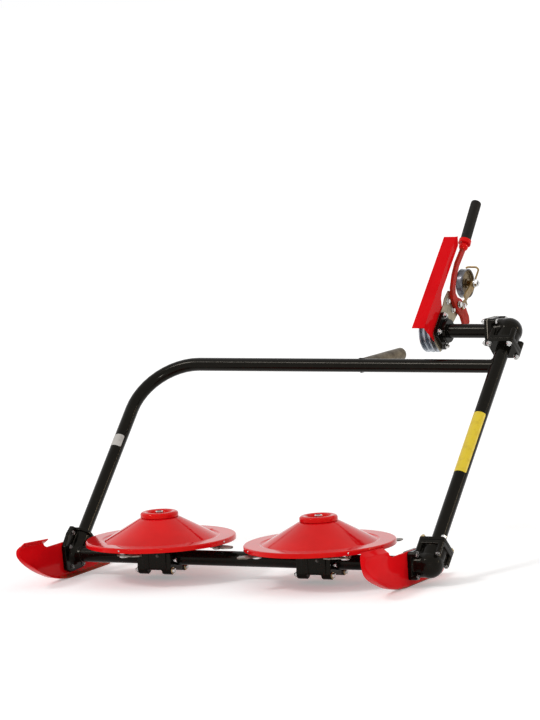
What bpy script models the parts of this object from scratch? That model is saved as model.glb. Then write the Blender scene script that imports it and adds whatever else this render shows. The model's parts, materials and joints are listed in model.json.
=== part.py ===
"""Two-disc mower that is carried on the front of a walking tractor.

Lengths are in metres and +Z is up.  The deck frame has its origin on the axis
of the cutter bar, midway between the discs: +X runs along the bar to the drive
side and -Y is the way the mower travels.  The tube frame leans back over the
deck at 45 degrees and has axes of its own: front, which points up and ahead,
and rise, which points up along the legs.
"""

import bmesh
import bpy
from math import atan2, cos, pi, radians, sin, tau
from mathutils import Matrix, Vector

# Gaps and tolerances
SEAT_GAP = 0.0003
PIN_GAP = 0.0004
OVERRUN = 0.003
WELD = 0.00005

# Cutting discs
DISC_RADIUS = 0.210
DISC_RIM_WIDTH = 0.046
DISC_RIM_LOW = 0.0425
DISC_RIM_HIGH = 0.0560
DISC_RIM_BEND = 0.0050
DISC_GROOVE = 0.0025
DISC_GROOVE_WIDTH = 0.0070
DISC_TOP = 0.1130
DISC_SHEET = 0.0030
SPINDLE_RADIUS = 0.0150
SPINDLE_LOW = 0.0420
HUB_RADIUS = 0.0460
HUB_THICKNESS = 0.0120
HUB_NECK_RADIUS = 0.0260
HUB_NECK_DROP = 0.0340
CAP_RADIUS = 0.0530
CAP_SEAT_INSET = 0.0010
CAP_CROWN_RADIUS = 0.0430
CAP_HEIGHT = 0.0150
CAP_DISH_RADIUS = 0.0300
CAP_DISH_FLOOR = 0.0050
CAP_NUT_RADIUS = 0.0110
CAP_NUT_TOP = 0.0120

# Blades, and the studs that carry them below the rim
BLADE_INSET = 0.025
BLADE_OVERHANG = 0.034
BLADE_WIDTH = 0.038
BLADE_TAIL = 0.016
BLADE_THICKNESS = 0.0040
BLADE_CLEARANCE = 0.0052
BLADE_POINT_SHARE = 0.45
BLADE_EDGE_SHARE = 0.30
STUD_RADIUS = 0.0070
STUD_COLLAR_RADIUS = 0.0120
STUD_HEAD_RADIUS = 0.0130
STUD_HEAD_THICKNESS = 0.0060
LEFT_BLADE_ANGLE = radians(-4.0)
LEFT_BLADE_SWINGS = (radians(-14.0), radians(10.0), radians(-6.0), radians(84.0))
RIGHT_BLADE_ANGLE = radians(49.0)
RIGHT_BLADE_SWINGS = (radians(3.0), radians(-12.0), radians(8.0), radians(-111.0))

# Layout of the deck: room beside the circles that the blade tips sweep
TIP_GAP = 0.012
LEG_CLEARANCE = 0.036
DRIVE_CLEARANCE = 0.089

# Cutter bar
BAR_RADIUS = 0.0212
BAR_WALL = 0.0065
BAR_FLANGE_THICKNESS = 0.0100

# Tube frame
FRAME_LEAN = radians(45.0)
RAIL_RISE = 0.675
PULLEY_ABOVE_RAIL = 0.0450
TUBE_RADIUS = 0.0190
TUBE_WALL = 0.0020
BEND_RADIUS = 0.165
BEND_STEPS = 12
DRIVE_RADIUS = 0.0200
DRIVE_WALL = 0.0040

# Bevel gear housings at both ends of the drive tube
ELBOW_REACH = 0.0487
ELBOW_FLANGE_SIDE = 0.0780
ELBOW_FLANGE_THICKNESS = 0.0125
ELBOW_BODY_RADIUS = 0.0360
ELBOW_CORNER_BALL = 0.0377
ELBOW_NECK_RADIUS = 0.0350
ELBOW_NECK_LENGTH = 0.0560
ELBOW_BOSS_RADIUS = 0.0085
ELBOW_BOSS_LENGTH = 0.0250
ELBOW_NECK_BOSS_LENGTH = 0.0390
TUBE_FLANGE_THICKNESS = 0.0090

# Casting at the outer end of the bar: outline of its plate as (along, height)
END_PLATE_OUTSET = 0.0150
END_PLATE_THICKNESS = 0.0120
END_PLATE_POINTS = (
    (0.003, 0.079),
    (-0.020, 0.063),
    (-0.039, 0.040),
    (-0.049, 0.028),
    (-0.044, -0.038),
    (-0.024, -0.048),
    (0.046, -0.044),
    (0.056, -0.036),
    (0.056, 0.020),
    (0.068, 0.027),
    (0.027, 0.068),
)
END_SOCKET_RADIUS = 0.0250
END_SOCKET_RISE = 0.0640
END_PAD_THICKNESS = 0.0090
END_PAD_RADIUS = 0.0320
END_FLARE_EXTRA = 0.0020
END_FLARE_GROWTH = 0.0120

# Shoes: free edge as (along, height), and folded edge as (along, height, fold, lip in, lip up)
SHOE_SHEET = 0.0030
SHOE_FREE_EDGE = (
    (0.185, -0.022),
    (0.020, 0.040),
    (-0.124, 0.040),
    (-0.137, 0.045),
)
SHOE_FOLDED_EDGE = (
    (-0.142, 0.056, 0.004, 0.018, 0.011),
    (-0.268, 0.064, 0.004, 0.018, 0.011),
    (-0.282, 0.059, 0.004, 0.015, 0.006),
    (-0.288, 0.048, 0.004, 0.012, 0.002),
    (-0.283, 0.034, 0.004, 0.013, 0.000),
    (-0.262, 0.015, 0.005, 0.020, 0.000),
    (-0.235, -0.002, 0.006, 0.026, 0.000),
    (-0.205, -0.0180, 0.007, 0.027, 0.000),
    (-0.175, -0.0310, 0.008, 0.026, 0.000),
    (-0.140, -0.0440, 0.009, 0.026, 0.000),
    (-0.100, -0.0535, 0.010, 0.026, 0.000),
    (-0.065, -0.0585, 0.011, 0.026, 0.000),
    (-0.040, -0.0600, 0.0105, 0.026, 0.000),
    (0.160, -0.0574, 0.0105, 0.026, 0.000),
    (0.172, -0.0560, 0.0105, 0.026, 0.000),
    (0.181, -0.0515, 0.010, 0.026, 0.000),
    (0.185, -0.0440, 0.006, 0.024, 0.000),
)
SHOE_SOLE_START = 12
SHOE_SOLE_END = 13
SHOE_CURVE_START = 1
FOLD_STEPS = 3

# Disc gearboxes, clamped round the bar: outline of an end lug as (along, height)
GEARBOX_WIDTH = 0.1060
GEARBOX_DEPTH = 0.0960
GEARBOX_TOP = 0.0220
GEARBOX_DROP = 0.0310
GEARBOX_LUG_WIDTH = 0.0300
GEARBOX_LUG_POINTS = (
    (-0.046, 0.018),
    (-0.048, -0.030),
    (-0.044, -0.040),
    (-0.036, -0.044),
    (-0.027, -0.041),
    (-0.018, -0.034),
    (0.018, -0.034),
    (0.027, -0.041),
    (0.036, -0.044),
    (0.044, -0.040),
    (0.048, -0.030),
    (0.046, 0.018),
)
GEARBOX_NECK_RADIUS = 0.0340
GEARBOX_NECK_TOP = 0.0700
GEARBOX_EDGE = 0.0040

# Input shaft: stub tube, flange and two-groove pulley
PULLEY_X = 0.347
PULLEY_WIDTH = 0.0340
PULLEY_RADIUS = 0.0600
PULLEY_GROOVES = 2
PULLEY_GROOVE_DEPTH = 0.0120
PULLEY_GROOVE_WIDTH = 0.0125
PULLEY_GROOVE_FLOOR = 0.0060
PULLEY_RIM_INNER = 0.0420
PULLEY_WEB = 0.0080
PULLEY_HUB_RADIUS = 0.0190
PULLEY_CLEARANCE = 0.0050
SHAFT_RADIUS = 0.0100
SHAFT_DEPTH = 0.0300
FLANGE_SIDE = 0.0820
FLANGE_THICKNESS = 0.0100
FLANGE_CORNER = 0.0120
FLANGE_BOSS_RADIUS = 0.0330
FLANGE_BOSS_LENGTH = 0.0140

# Belt guard: a front cover, and a side plate whose outline is given as (front, rise)
GUARD_SHEET = 0.0020
GUARD_WIDTH = 0.0380
GUARD_FRONT = 0.0900
GUARD_TOP = 0.2680
GUARD_BOTTOM = 0.0600
GUARD_SIDE_POINTS = (
    (0.0900, -0.0600),
    (0.0080, -0.0480),
    (0.0190, 0.0410),
    (0.0560, 0.0720),
    (0.0640, 0.0920),
    (0.0640, 0.2580),
    (0.0820, 0.2760),
    (0.0900, 0.2680),
)

# Bracket plate of the tension lever: outline as (front, rise)
BRACKET_SHEET = 0.0030
BRACKET_POINTS = (
    (0.0100, -0.0520),
    (0.0360, -0.0380),
    (0.0390, 0.0650),
    (0.0430, 0.0820),
    (0.0390, 0.1130),
    (0.0330, 0.1180),
    (-0.0440, 0.1100),
    (-0.0500, 0.1030),
    (-0.0410, 0.0580),
    (-0.0300, -0.0510),
)
SHAFT_CLEARANCE_HOLE = 0.0170

# Tension lever: outline as (front, rise), and where its pivot lies
LEVER_THICKNESS = 0.0090
LEVER_PIVOT_BACK = 0.0220
LEVER_PIVOT_RISE = 0.1120
LEVER_PIN_RADIUS = 0.0050
LEVER_PIN_HEAD_RADIUS = 0.0090
LEVER_PIN_HEAD = 0.0050
LEVER_POINTS = (
    (0.0550, 0.2560),
    (0.0590, 0.1990),
    (0.0525, 0.1600),
    (0.0380, 0.1240),
    (0.0160, 0.1030),
    (-0.0050, 0.0970),
    (-0.0400, 0.0970),
    (-0.0620, 0.0990),
    (-0.0840, 0.0920),
    (-0.1040, 0.0980),
    (-0.1100, 0.1060),
    (-0.1080, 0.1180),
    (-0.0950, 0.1280),
    (-0.0750, 0.1320),
    (-0.0550, 0.1380),
    (-0.0250, 0.1340),
    (-0.0040, 0.1240),
    (0.0120, 0.1260),
    (0.0260, 0.1420),
    (0.0360, 0.1660),
    (0.0420, 0.2000),
    (0.0380, 0.2560),
)
LEVER_TOP_FRONT = 0.0465
LEVER_TOP_RISE = 0.2520
LEVER_BALL_RADIUS = 0.0135
LEVER_RING_RADIUS = 0.0180
LEVER_RING_HEIGHT = 0.0120
LEVER_RING_INSET = 0.0040
GRIP_SLANT = radians(5.0)
GRIP_RADIUS = 0.0150
GRIP_LENGTH = 0.132
GRIP_EDGE = 0.0045
GRIP_ROD_RADIUS = 0.0060

# Idler pulley on its arm, with the wire that keeps the belts in place
IDLER_BACK = 0.0765
IDLER_RISE = 0.2320
IDLER_RADIUS = 0.0405
IDLER_WIDTH = 0.0200
IDLER_RIM = 0.0030
IDLER_LIP = 0.0015
IDLER_HUB_RADIUS = 0.0130
IDLER_WEB = 0.0040
ARM_THICKNESS = 0.0040
ARM_WIDTH = 0.0160
ARM_JOG = 0.0110
ARM_JOG_START = 0.0220
ARM_JOG_LENGTH = 0.0160
ARM_FOOT_BACK = 0.0440
ARM_FOOT_RISE = 0.1250
AXLE_RADIUS = 0.0060
AXLE_HEAD_RADIUS = 0.0095
AXLE_HEAD = 0.0050
AXLE_NUT = 0.0080
AXLE_OUT = 0.0120
KEEPER_RADIUS = 0.0025
KEEPER_CLEARANCE = 0.0220
KEEPER_BEND = 0.0050

# Hitch spigot
SPIGOT_X = 0.157
SPIGOT_RADIUS = 0.0190
SPIGOT_WALL = 0.0060
SPIGOT_LENGTH = 0.249

# Facets of round pieces
DISC_STEPS = 48
CAP_STEPS = 36
PULLEY_STEPS = 36
ROUND_STEPS = 28
IDLER_STEPS = 28
TUBE_SIDES = 20
SMALL_STEPS = 12
BALL_STEPS = 24
WIRE_SIDES = 8
ROLL_STEPS = 4
FLARE_STEPS = 5
CORNER_STEPS = 3

PITCH_RADIUS = DISC_RADIUS - BLADE_INSET
TIP_RADIUS = DISC_RADIUS + BLADE_OVERHANG
DISC_X = TIP_RADIUS + TIP_GAP / 2
LEFT_LEG_X = -DISC_X - TIP_RADIUS - LEG_CLEARANCE
DRIVE_X = DISC_X + TIP_RADIUS + DRIVE_CLEARANCE
END_PLATE_X = LEFT_LEG_X - END_PLATE_OUTSET
END_FACE_X = END_PLATE_X + END_PLATE_THICKNESS
ELBOW_FACE_X = DRIVE_X - ELBOW_REACH
END_FLARE_LENGTH = LEFT_LEG_X + END_SOCKET_RADIUS + END_FLARE_EXTRA - END_FACE_X
BAR_LEFT_X = END_FACE_X + END_FLARE_LENGTH + SEAT_GAP
BAR_RIGHT_X = ELBOW_FACE_X - SHOE_SHEET - 2 * SEAT_GAP
GUARD_INNER_X = PULLEY_X + PULLEY_WIDTH / 2 + PULLEY_CLEARANCE
GUARD_OUTER_X = GUARD_INNER_X + GUARD_SHEET
BRACKET_X = GUARD_OUTER_X + SEAT_GAP
BRACKET_OUTER_X = BRACKET_X + BRACKET_SHEET
FLANGE_X = BRACKET_OUTER_X + SEAT_GAP
LEVER_X = BRACKET_OUTER_X + SEAT_GAP
LEVER_OUTER_X = LEVER_X + LEVER_THICKNESS
ARM_X = LEVER_OUTER_X + SEAT_GAP
STUB_RISE = RAIL_RISE + TUBE_RADIUS + PULLEY_ABOVE_RAIL + PULLEY_RADIUS
BLADE_TOP = DISC_RIM_LOW - BLADE_CLEARANCE
BLADE_LOW = BLADE_TOP - BLADE_THICKNESS

COLOURS = {
    "red paint": ((0.62, 0.012, 0.014, 1.0), 0.25, 0.0),
    "lever red": ((0.36, 0.028, 0.022, 1.0), 0.45, 0.0),
    "black paint": ((0.012, 0.012, 0.012, 1.0), 0.35, 0.0),
    "black rubber": ((0.014, 0.013, 0.011, 1.0), 0.80, 0.0),
    "bare steel": ((0.33, 0.31, 0.29, 1.0), 0.40, 1.0),
    "bare aluminium": ((0.42, 0.41, 0.39, 1.0), 0.38, 1.0),
    "zinc plate": ((0.52, 0.45, 0.30, 1.0), 0.35, 1.0),
    "spigot steel": ((0.20, 0.17, 0.13, 1.0), 0.55, 0.6),
}


def clear_scene():
    """Empty the file that the script runs in."""
    for old in list(bpy.data.objects):
        bpy.data.objects.remove(old, do_unlink=True)


def make_collection(name):
    """A new collection, linked into the scene."""
    collection = bpy.data.collections.new(name)
    bpy.context.scene.collection.children.link(collection)
    return collection


clear_scene()
PARTS = make_collection("disc mower")
SHAPES = make_collection("shapes used to cut and join")


def make_material(name):
    """A Principled material of one colour."""
    colour, roughness, metallic = COLOURS[name]
    material = bpy.data.materials.new(name)
    material.use_nodes = True
    shader = material.node_tree.nodes["Principled BSDF"]
    shader.inputs["Base Color"].default_value = colour
    shader.inputs["Roughness"].default_value = roughness
    shader.inputs["Metallic"].default_value = metallic
    material.diffuse_color = colour
    return material


MATERIALS = {name: make_material(name) for name in COLOURS}


def make_empty(name, parent=None, location=(0, 0, 0), rotation=(0, 0, 0)):
    """A carrier for pieces that share an axis or a frame."""
    empty = bpy.data.objects.new(name, None)
    PARTS.objects.link(empty)
    empty.parent = parent
    empty.location = location
    empty.rotation_euler = rotation
    return empty


def make_object(name, mesh, parent, location=(0, 0, 0), rotation=(0, 0, 0), finish=None):
    """Put a mesh in the scene; without a finish it is a helper shape."""
    piece = bpy.data.objects.new(name, mesh)
    piece.parent = parent
    piece.location = location
    piece.rotation_euler = rotation
    if finish:
        PARTS.objects.link(piece)
        mesh.materials.append(MATERIALS[finish])
    else:
        SHAPES.objects.link(piece)
        piece.hide_render = True
        piece.display_type = "WIRE"
    return piece


def combine(piece, shape, operation):
    """Join a helper shape to a piece, or cut it out."""
    step = piece.modifiers.new(shape.name, "BOOLEAN")
    step.object = shape
    step.operation = operation
    step.solver = "EXACT"


def join(piece, *shapes):
    """Make the helper shapes one body with the piece."""
    for shape in shapes:
        combine(piece, shape, "UNION")


def cut(piece, *shapes):
    """Take the helper shapes out of the piece."""
    for shape in shapes:
        combine(piece, shape, "DIFFERENCE")


def bevel(piece, width, segments=2, angle=radians(40.0)):
    """Round the sharp edges of a piece."""
    step = piece.modifiers.new("rounded edges", "BEVEL")
    step.width = width
    step.segments = segments
    step.limit_method = "ANGLE"
    step.angle_limit = angle


def shade(mesh):
    """Smooth faces with sharp edges kept."""
    mesh.shade_smooth()
    mesh.set_sharp_from_angle(angle=radians(35.0))


def mesh_from(build, name):
    """Run a bmesh recipe and return the mesh."""
    mesh = bpy.data.meshes.new(name)
    work = bmesh.new()
    build(work)
    work.to_mesh(mesh)
    work.free()
    return mesh


def box_mesh(name, size, centre=(0, 0, 0)):
    """A box of the given size round a centre."""

    def build(work):
        bmesh.ops.create_cube(work, size=1.0)
        bmesh.ops.scale(work, vec=size, verts=work.verts)
        bmesh.ops.translate(work, vec=centre, verts=work.verts)

    return mesh_from(build, name)


def turn_to(direction):
    """Rotation that takes +Z to a direction."""
    return Vector((0, 0, 1)).rotation_difference(Vector(direction)).to_matrix()


def rod_mesh(name, ends, radius, steps=ROUND_STEPS):
    """A cylinder between two points."""
    start, stop = (Vector(point) for point in ends)
    reach = stop - start

    def build(work):
        bmesh.ops.create_cone(
            work,
            cap_ends=True,
            segments=steps,
            radius1=radius,
            radius2=radius,
            depth=reach.length,
        )
        bmesh.ops.rotate(work, matrix=turn_to(reach), verts=work.verts)
        bmesh.ops.translate(work, vec=(start + stop) / 2, verts=work.verts)

    mesh = mesh_from(build, name)
    shade(mesh)
    return mesh


def ball_mesh(name, radius, centre):
    """A sphere round a point."""

    def build(work):
        bmesh.ops.create_uvsphere(
            work, u_segments=BALL_STEPS, v_segments=BALL_STEPS // 2, radius=radius
        )
        bmesh.ops.translate(work, vec=centre, verts=work.verts)

    mesh = mesh_from(build, name)
    shade(mesh)
    return mesh


def rods_mesh(name, pairs, radius, steps=SMALL_STEPS):
    """Several equal cylinders in one mesh."""

    def build(work):
        for ends in pairs:
            start, stop = (Vector(point) for point in ends)
            made = bmesh.ops.create_cone(
                work,
                cap_ends=True,
                segments=steps,
                radius1=radius,
                radius2=radius,
                depth=(stop - start).length,
            )
            bmesh.ops.rotate(work, matrix=turn_to(stop - start), verts=made["verts"])
            bmesh.ops.translate(work, vec=(start + stop) / 2, verts=made["verts"])

    mesh = mesh_from(build, name)
    shade(mesh)
    return mesh


def profile_mesh(name, profile, closed=False):
    """A chain of edges in the XZ plane, for a Screw modifier."""
    mesh = bpy.data.meshes.new(name)
    points = [(radius, 0.0, height) for radius, height in profile]
    edges = [(place, place + 1) for place in range(len(points) - 1)]
    if closed:
        edges.append((len(points) - 1, 0))
    mesh.from_pydata(points, edges, [])
    return mesh


def turn(piece, steps=ROUND_STEPS):
    """Turn a profile about the piece's Z axis."""
    step = piece.modifiers.new("turned", "SCREW")
    step.axis = "Z"
    step.angle = tau
    step.steps = steps
    step.render_steps = steps
    step.use_merge_vertices = True
    step.merge_threshold = WELD
    step.use_smooth_shade = True


def outline_mesh(name, outlines, thickness):
    """A flat sheet in the XY plane, centred on it, from closed outlines."""
    drawing = bpy.data.curves.new(name, "CURVE")
    drawing.dimensions = "2D"
    drawing.fill_mode = "BOTH"
    drawing.extrude = thickness / 2
    for outline in outlines:
        spline = drawing.splines.new("POLY")
        spline.points.add(len(outline) - 1)
        for point, (across, along) in zip(spline.points, outline):
            point.co = (across, along, 0.0, 1.0)
        spline.use_cyclic_u = True
    return mesh_of_curve(name, drawing)


def mesh_of_curve(name, drawing):
    """The welded mesh of a curve, with the curve removed."""
    holder = bpy.data.objects.new(name, drawing)
    SHAPES.objects.link(holder)
    found = holder.evaluated_get(bpy.context.evaluated_depsgraph_get())
    mesh = bpy.data.meshes.new_from_object(found)
    mesh.name = name
    bpy.data.objects.remove(holder, do_unlink=True)
    bpy.data.curves.remove(drawing)
    work = bmesh.new()
    work.from_mesh(mesh)
    bmesh.ops.remove_doubles(work, verts=work.verts, dist=WELD)
    bmesh.ops.recalc_face_normals(work, faces=work.faces)
    work.to_mesh(mesh)
    work.free()
    return mesh


def side_plate_mesh(name, outlines, thickness, middle_x):
    """A sheet that stands in the YZ plane; outlines are (y, z)."""
    mesh = outline_mesh(name, outlines, thickness)
    upright = Matrix(((0, 0, 1, middle_x), (1, 0, 0, 0), (0, 1, 0, 0), (0, 0, 0, 1)))
    mesh.transform(upright)
    return mesh


def tube_mesh(name, path, radius, sides=TUBE_SIDES):
    """A filled tube along a chain of points."""
    drawing = bpy.data.curves.new(name, "CURVE")
    drawing.dimensions = "3D"
    drawing.bevel_depth = radius
    drawing.bevel_resolution = (sides - 4) // 2
    drawing.use_fill_caps = True
    spline = drawing.splines.new("POLY")
    spline.points.add(len(path) - 1)
    for point, place in zip(spline.points, path):
        point.co = (*place, 1.0)
    mesh = mesh_of_curve(name, drawing)
    shade(mesh)
    return mesh


def circle(radius, centre=(0, 0), steps=SMALL_STEPS):
    """Points round a circle, for an outline."""
    turns = [tau * step / steps for step in range(steps)]
    return [(centre[0] + radius * cos(a), centre[1] + radius * sin(a)) for a in turns]


def square_corners(spacing):
    """The four corners of a square that is centred on the origin."""
    half = spacing / 2
    return [(half, half), (-half, half), (-half, -half), (half, -half)]


def rounded_square(side, corner, steps=CORNER_STEPS):
    """Outline of a square with round corners."""
    points = []
    for quarter, (x, y) in enumerate(square_corners(side - 2 * corner)):
        for step in range(steps + 1):
            turned = pi / 2 * (quarter + step / steps)
            points.append((x + corner * cos(turned), y + corner * sin(turned)))
    return points


def flange_mesh(name, side, corner, thickness, middle, upright=False):
    """A square plate with round corners, across X or, when upright, across Z."""
    outline = rounded_square(side, corner)
    if upright:
        mesh = outline_mesh(name, [outline], thickness)
        mesh.transform(Matrix.Translation(middle))
        return mesh
    mesh = side_plate_mesh(name, [outline], thickness, middle[0])
    mesh.transform(Matrix.Translation((0, *middle[1:])))
    return mesh


def lean(front, rise):
    """A point of the leaning frame as its local (y, z)."""
    return (-front, rise)


def make_cutter_bar(deck):
    """The bar tube with the flange that clamps the inner shoe."""
    bar = make_object(
        "cutter_bar",
        rod_mesh("cutter_bar", ((BAR_LEFT_X, 0, 0), (BAR_RIGHT_X, 0, 0)), BAR_RADIUS),
        deck,
        finish="black paint",
    )
    middle = (BAR_RIGHT_X - BAR_FLANGE_THICKNESS / 2, 0, 0)
    flange = flange_mesh(
        "bar flange", ELBOW_FLANGE_SIDE, ELBOW_BOSS_RADIUS, BAR_FLANGE_THICKNESS, middle
    )
    join(bar, make_object("bar flange", flange, deck))
    ends = ((BAR_LEFT_X - OVERRUN, 0, 0), (BAR_RIGHT_X + OVERRUN, 0, 0))
    bore = rod_mesh("bar bore", ends, BAR_RADIUS - BAR_WALL)
    cut(bar, make_object("bar bore", bore, deck))


def flare_profile():
    """Profile of the flare where the bar grows into the end plate, along the bar."""
    profile = [(0, 0), (BAR_RADIUS + END_FLARE_GROWTH, 0)]
    for step in range(FLARE_STEPS + 1):
        turned = pi / 2 * step / FLARE_STEPS
        radius = BAR_RADIUS + END_FLARE_GROWTH * (1 - sin(turned))
        profile.append((radius, OVERRUN + END_FLARE_LENGTH * (1 - cos(turned))))
    profile.append((0, OVERRUN + END_FLARE_LENGTH))
    return profile[::-1]


def socket_outline(radius, flat_x):
    """Outline round the leg's foot: flat at the end plate, else round."""
    turns = [pi / 2 - pi * step / SMALL_STEPS for step in range(SMALL_STEPS + 1)]
    arc = [
        (LEFT_LEG_X + radius * cos(turned), radius * sin(turned))
        for turned in turns
    ]
    return [(flat_x, radius), *arc, (flat_x, -radius)]


def make_end_casting(deck):
    """The casting that joins the bar, the outer shoe and the frame's leg."""
    casting = make_object(
        "end_casting",
        side_plate_mesh(
            "end_casting",
            [END_PLATE_POINTS],
            END_PLATE_THICKNESS,
            END_PLATE_X + END_PLATE_THICKNESS / 2,
        ),
        deck,
        finish="black paint",
    )
    flare = make_object(
        "end flare",
        profile_mesh("end flare", flare_profile()),
        deck,
        (END_FACE_X - OVERRUN, 0, 0),
        (0, pi / 2, 0),
    )
    turn(flare)
    shape = socket_outline(END_SOCKET_RADIUS, END_PLATE_X + 2 * SEAT_GAP)
    socket = outline_mesh("end socket", [shape], END_SOCKET_RISE)
    socket.transform(Matrix.Translation((0, 0, END_SOCKET_RISE / 2)))
    shape = socket_outline(END_PAD_RADIUS, END_PLATE_X + SEAT_GAP)
    pad = outline_mesh("end pad", [shape], END_PAD_THICKNESS)
    pad_z = END_SOCKET_RISE + END_PAD_THICKNESS / 2 - OVERRUN
    pad.transform(Matrix.Translation((0, 0, pad_z)))
    tilt = (-FRAME_LEAN, 0, 0)
    join(
        casting,
        flare,
        make_object("end socket", socket, deck, rotation=tilt),
        make_object("end pad", pad, deck, rotation=tilt),
    )


def edge_normals(points):
    """Outward unit normals at the points of a folded edge, from its neighbours."""
    normals = []
    for place in range(len(points)):
        before = Vector(points[max(place - 1, 0)][:2])
        after = Vector(points[min(place + 1, len(points) - 1)][:2])
        along = (after - before).normalized()
        normals.append(Vector((along.y, -along.x)))
    return normals


def curved_edge():
    """The folded edge with a point added half way along each stretch of its curve."""
    rows = [Vector(row) for row in SHOE_FOLDED_EDGE]
    made = []
    for place, row in enumerate(rows):
        made.append(row)
        if SHOE_CURVE_START <= place < SHOE_SOLE_START:
            before, after, beyond = rows[place - 1], rows[place + 1], rows[place + 2]
            middle = (row + after) / 2
            if place > SHOE_CURVE_START and place + 1 < SHOE_SOLE_START:
                middle += (row - before + after - beyond) / 16
            made.append(middle)
    return made


def shoe_mesh(name, inward):
    """A pressed shoe as an open surface: side plate, rounded fold and turned-in lip."""

    def build(work):
        rows = []
        edge = curved_edge()
        normals = edge_normals(edge)
        for (along, height, fold, lip_in, lip_up), normal in zip(edge, normals):
            row = []
            for step in range(FOLD_STEPS + 1):
                turned = pi / 2 * step / FOLD_STEPS
                back = fold * (1 - sin(turned))
                point = (
                    inward * fold * (1 - cos(turned)),
                    along - normal.x * back,
                    height - normal.y * back,
                )
                row.append(work.verts.new(point))
            row.append(work.verts.new((inward * lip_in, along, height + lip_up)))
            rows.append(row)
        plain = [work.verts.new((0, along, height)) for along, height in SHOE_FREE_EDGE]
        work.faces.new(plain + [row[0] for row in rows])
        for row, after in zip(rows, rows[1:]):
            for place in range(len(row) - 1):
                work.faces.new((row[place], after[place], after[place + 1], row[place + 1]))
        bmesh.ops.recalc_face_normals(work, faces=work.faces)

    return mesh_from(build, name)


def make_shoe(name, deck, plate_x, inward):
    """One shoe; the sheet's outer face lies at plate_x."""
    shoe = make_object(name, shoe_mesh(name, inward), deck, (plate_x, 0, 0), finish="red paint")
    sheet = shoe.modifiers.new("sheet", "SOLIDIFY")
    sheet.solidify_mode = "NON_MANIFOLD"
    sheet.nonmanifold_thickness_mode = "CONSTRAINTS"
    sheet.thickness = SHOE_SHEET
    sheet.offset = -1.0
    return shoe


def make_shoes(deck):
    """Both shoes, on the outer side of the flanges that carry them."""
    outer_x = END_PLATE_X - SEAT_GAP - SHOE_SHEET
    make_shoe("shoe_left", deck, outer_x, 1)
    make_shoe("shoe_right", deck, ELBOW_FACE_X - SEAT_GAP, -1)


def make_elbow(name, deck, frame, rise, side):
    """A bevel gear housing; side is +1 where the drive tube leaves upwards."""
    elbow = make_object(
        name,
        rod_mesh(name, ((ELBOW_FACE_X + OVERRUN, 0, 0), (DRIVE_X, 0, 0)), ELBOW_BODY_RADIUS),
        frame,
        (0, 0, rise),
        (FRAME_LEAN, 0, 0),
        finish="black paint",
    )
    ball = ball_mesh(name + " corner", ELBOW_CORNER_BALL, (DRIVE_X, 0, 0))
    face_z = side * ELBOW_NECK_LENGTH
    neck_z = face_z - side * OVERRUN
    neck = rod_mesh(name + " neck", ((DRIVE_X, 0, 0), (DRIVE_X, 0, neck_z)), ELBOW_NECK_RADIUS)
    plate_shape = (ELBOW_FLANGE_SIDE, ELBOW_BOSS_RADIUS, ELBOW_FLANGE_THICKNESS)
    plate_middle = (ELBOW_FACE_X + ELBOW_FLANGE_THICKNESS / 2, 0, 0)
    plate = flange_mesh(name + " flange", *plate_shape, plate_middle)
    top_middle = (DRIVE_X, 0, face_z - side * ELBOW_FLANGE_THICKNESS / 2)
    top = flange_mesh(name + " tube flange", *plate_shape, top_middle, upright=True)
    corners = square_corners(ELBOW_FLANGE_SIDE - 2 * ELBOW_BOSS_RADIUS)
    side_bosses = [
        ((ELBOW_FACE_X + OVERRUN, y, z), (ELBOW_FACE_X + ELBOW_BOSS_LENGTH, y, z))
        for y, z in corners
    ]
    far_z = face_z - side * ELBOW_NECK_BOSS_LENGTH
    top_bosses = [((DRIVE_X + x, y, neck_z), (DRIVE_X + x, y, far_z)) for x, y in corners]
    level = (FRAME_LEAN, 0, 0)
    join(
        elbow,
        make_object(name + " corner", ball, frame, (0, 0, rise)),
        make_object(name + " neck", neck, frame, (0, 0, rise)),
        make_object(name + " flange", plate, frame, (0, 0, rise), level),
        make_object(name + " tube flange", top, frame, (0, 0, rise)),
        make_object(
            name + " side bosses",
            rods_mesh(name + " side bosses", side_bosses, ELBOW_BOSS_RADIUS),
            frame,
            (0, 0, rise),
            level,
        ),
        make_object(
            name + " tube bosses",
            rods_mesh(name + " tube bosses", top_bosses, ELBOW_BOSS_RADIUS),
            frame,
            (0, 0, rise),
        ),
    )


def make_drive_tube(frame):
    """The inclined tube between the gear housings, with its end flanges."""
    low = ELBOW_NECK_LENGTH + SEAT_GAP
    high = STUB_RISE - ELBOW_NECK_LENGTH - SEAT_GAP
    tube = make_object(
        "drive_tube",
        rod_mesh("drive_tube", ((DRIVE_X, 0, low), (DRIVE_X, 0, high)), DRIVE_RADIUS),
        frame,
        finish="black paint",
    )
    shape = (ELBOW_FLANGE_SIDE, ELBOW_BOSS_RADIUS, TUBE_FLANGE_THICKNESS)
    for name, height in (("low", low), ("high", high - TUBE_FLANGE_THICKNESS)):
        middle = (DRIVE_X, 0, height + TUBE_FLANGE_THICKNESS / 2)
        label = "drive tube flange " + name
        join(tube, make_object(label, flange_mesh(label, *shape, middle, upright=True), frame))
    ends = ((DRIVE_X, 0, low - OVERRUN), (DRIVE_X, 0, high + OVERRUN))
    bore = rod_mesh("drive tube bore", ends, DRIVE_RADIUS - DRIVE_WALL)
    cut(tube, make_object("drive tube bore", bore, frame))


def frame_path(start, stop):
    """Centre line of the bent tube: up the left leg, round, and along the rail."""
    bend_x = LEFT_LEG_X + BEND_RADIUS
    bend_z = RAIL_RISE - BEND_RADIUS
    path = [(LEFT_LEG_X, 0, start)]
    for step in range(BEND_STEPS + 1):
        turned = pi / 2 * step / BEND_STEPS
        path.append(
            (bend_x - BEND_RADIUS * cos(turned), 0, bend_z + BEND_RADIUS * sin(turned))
        )
    path.append((stop, 0, RAIL_RISE))
    return path


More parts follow.
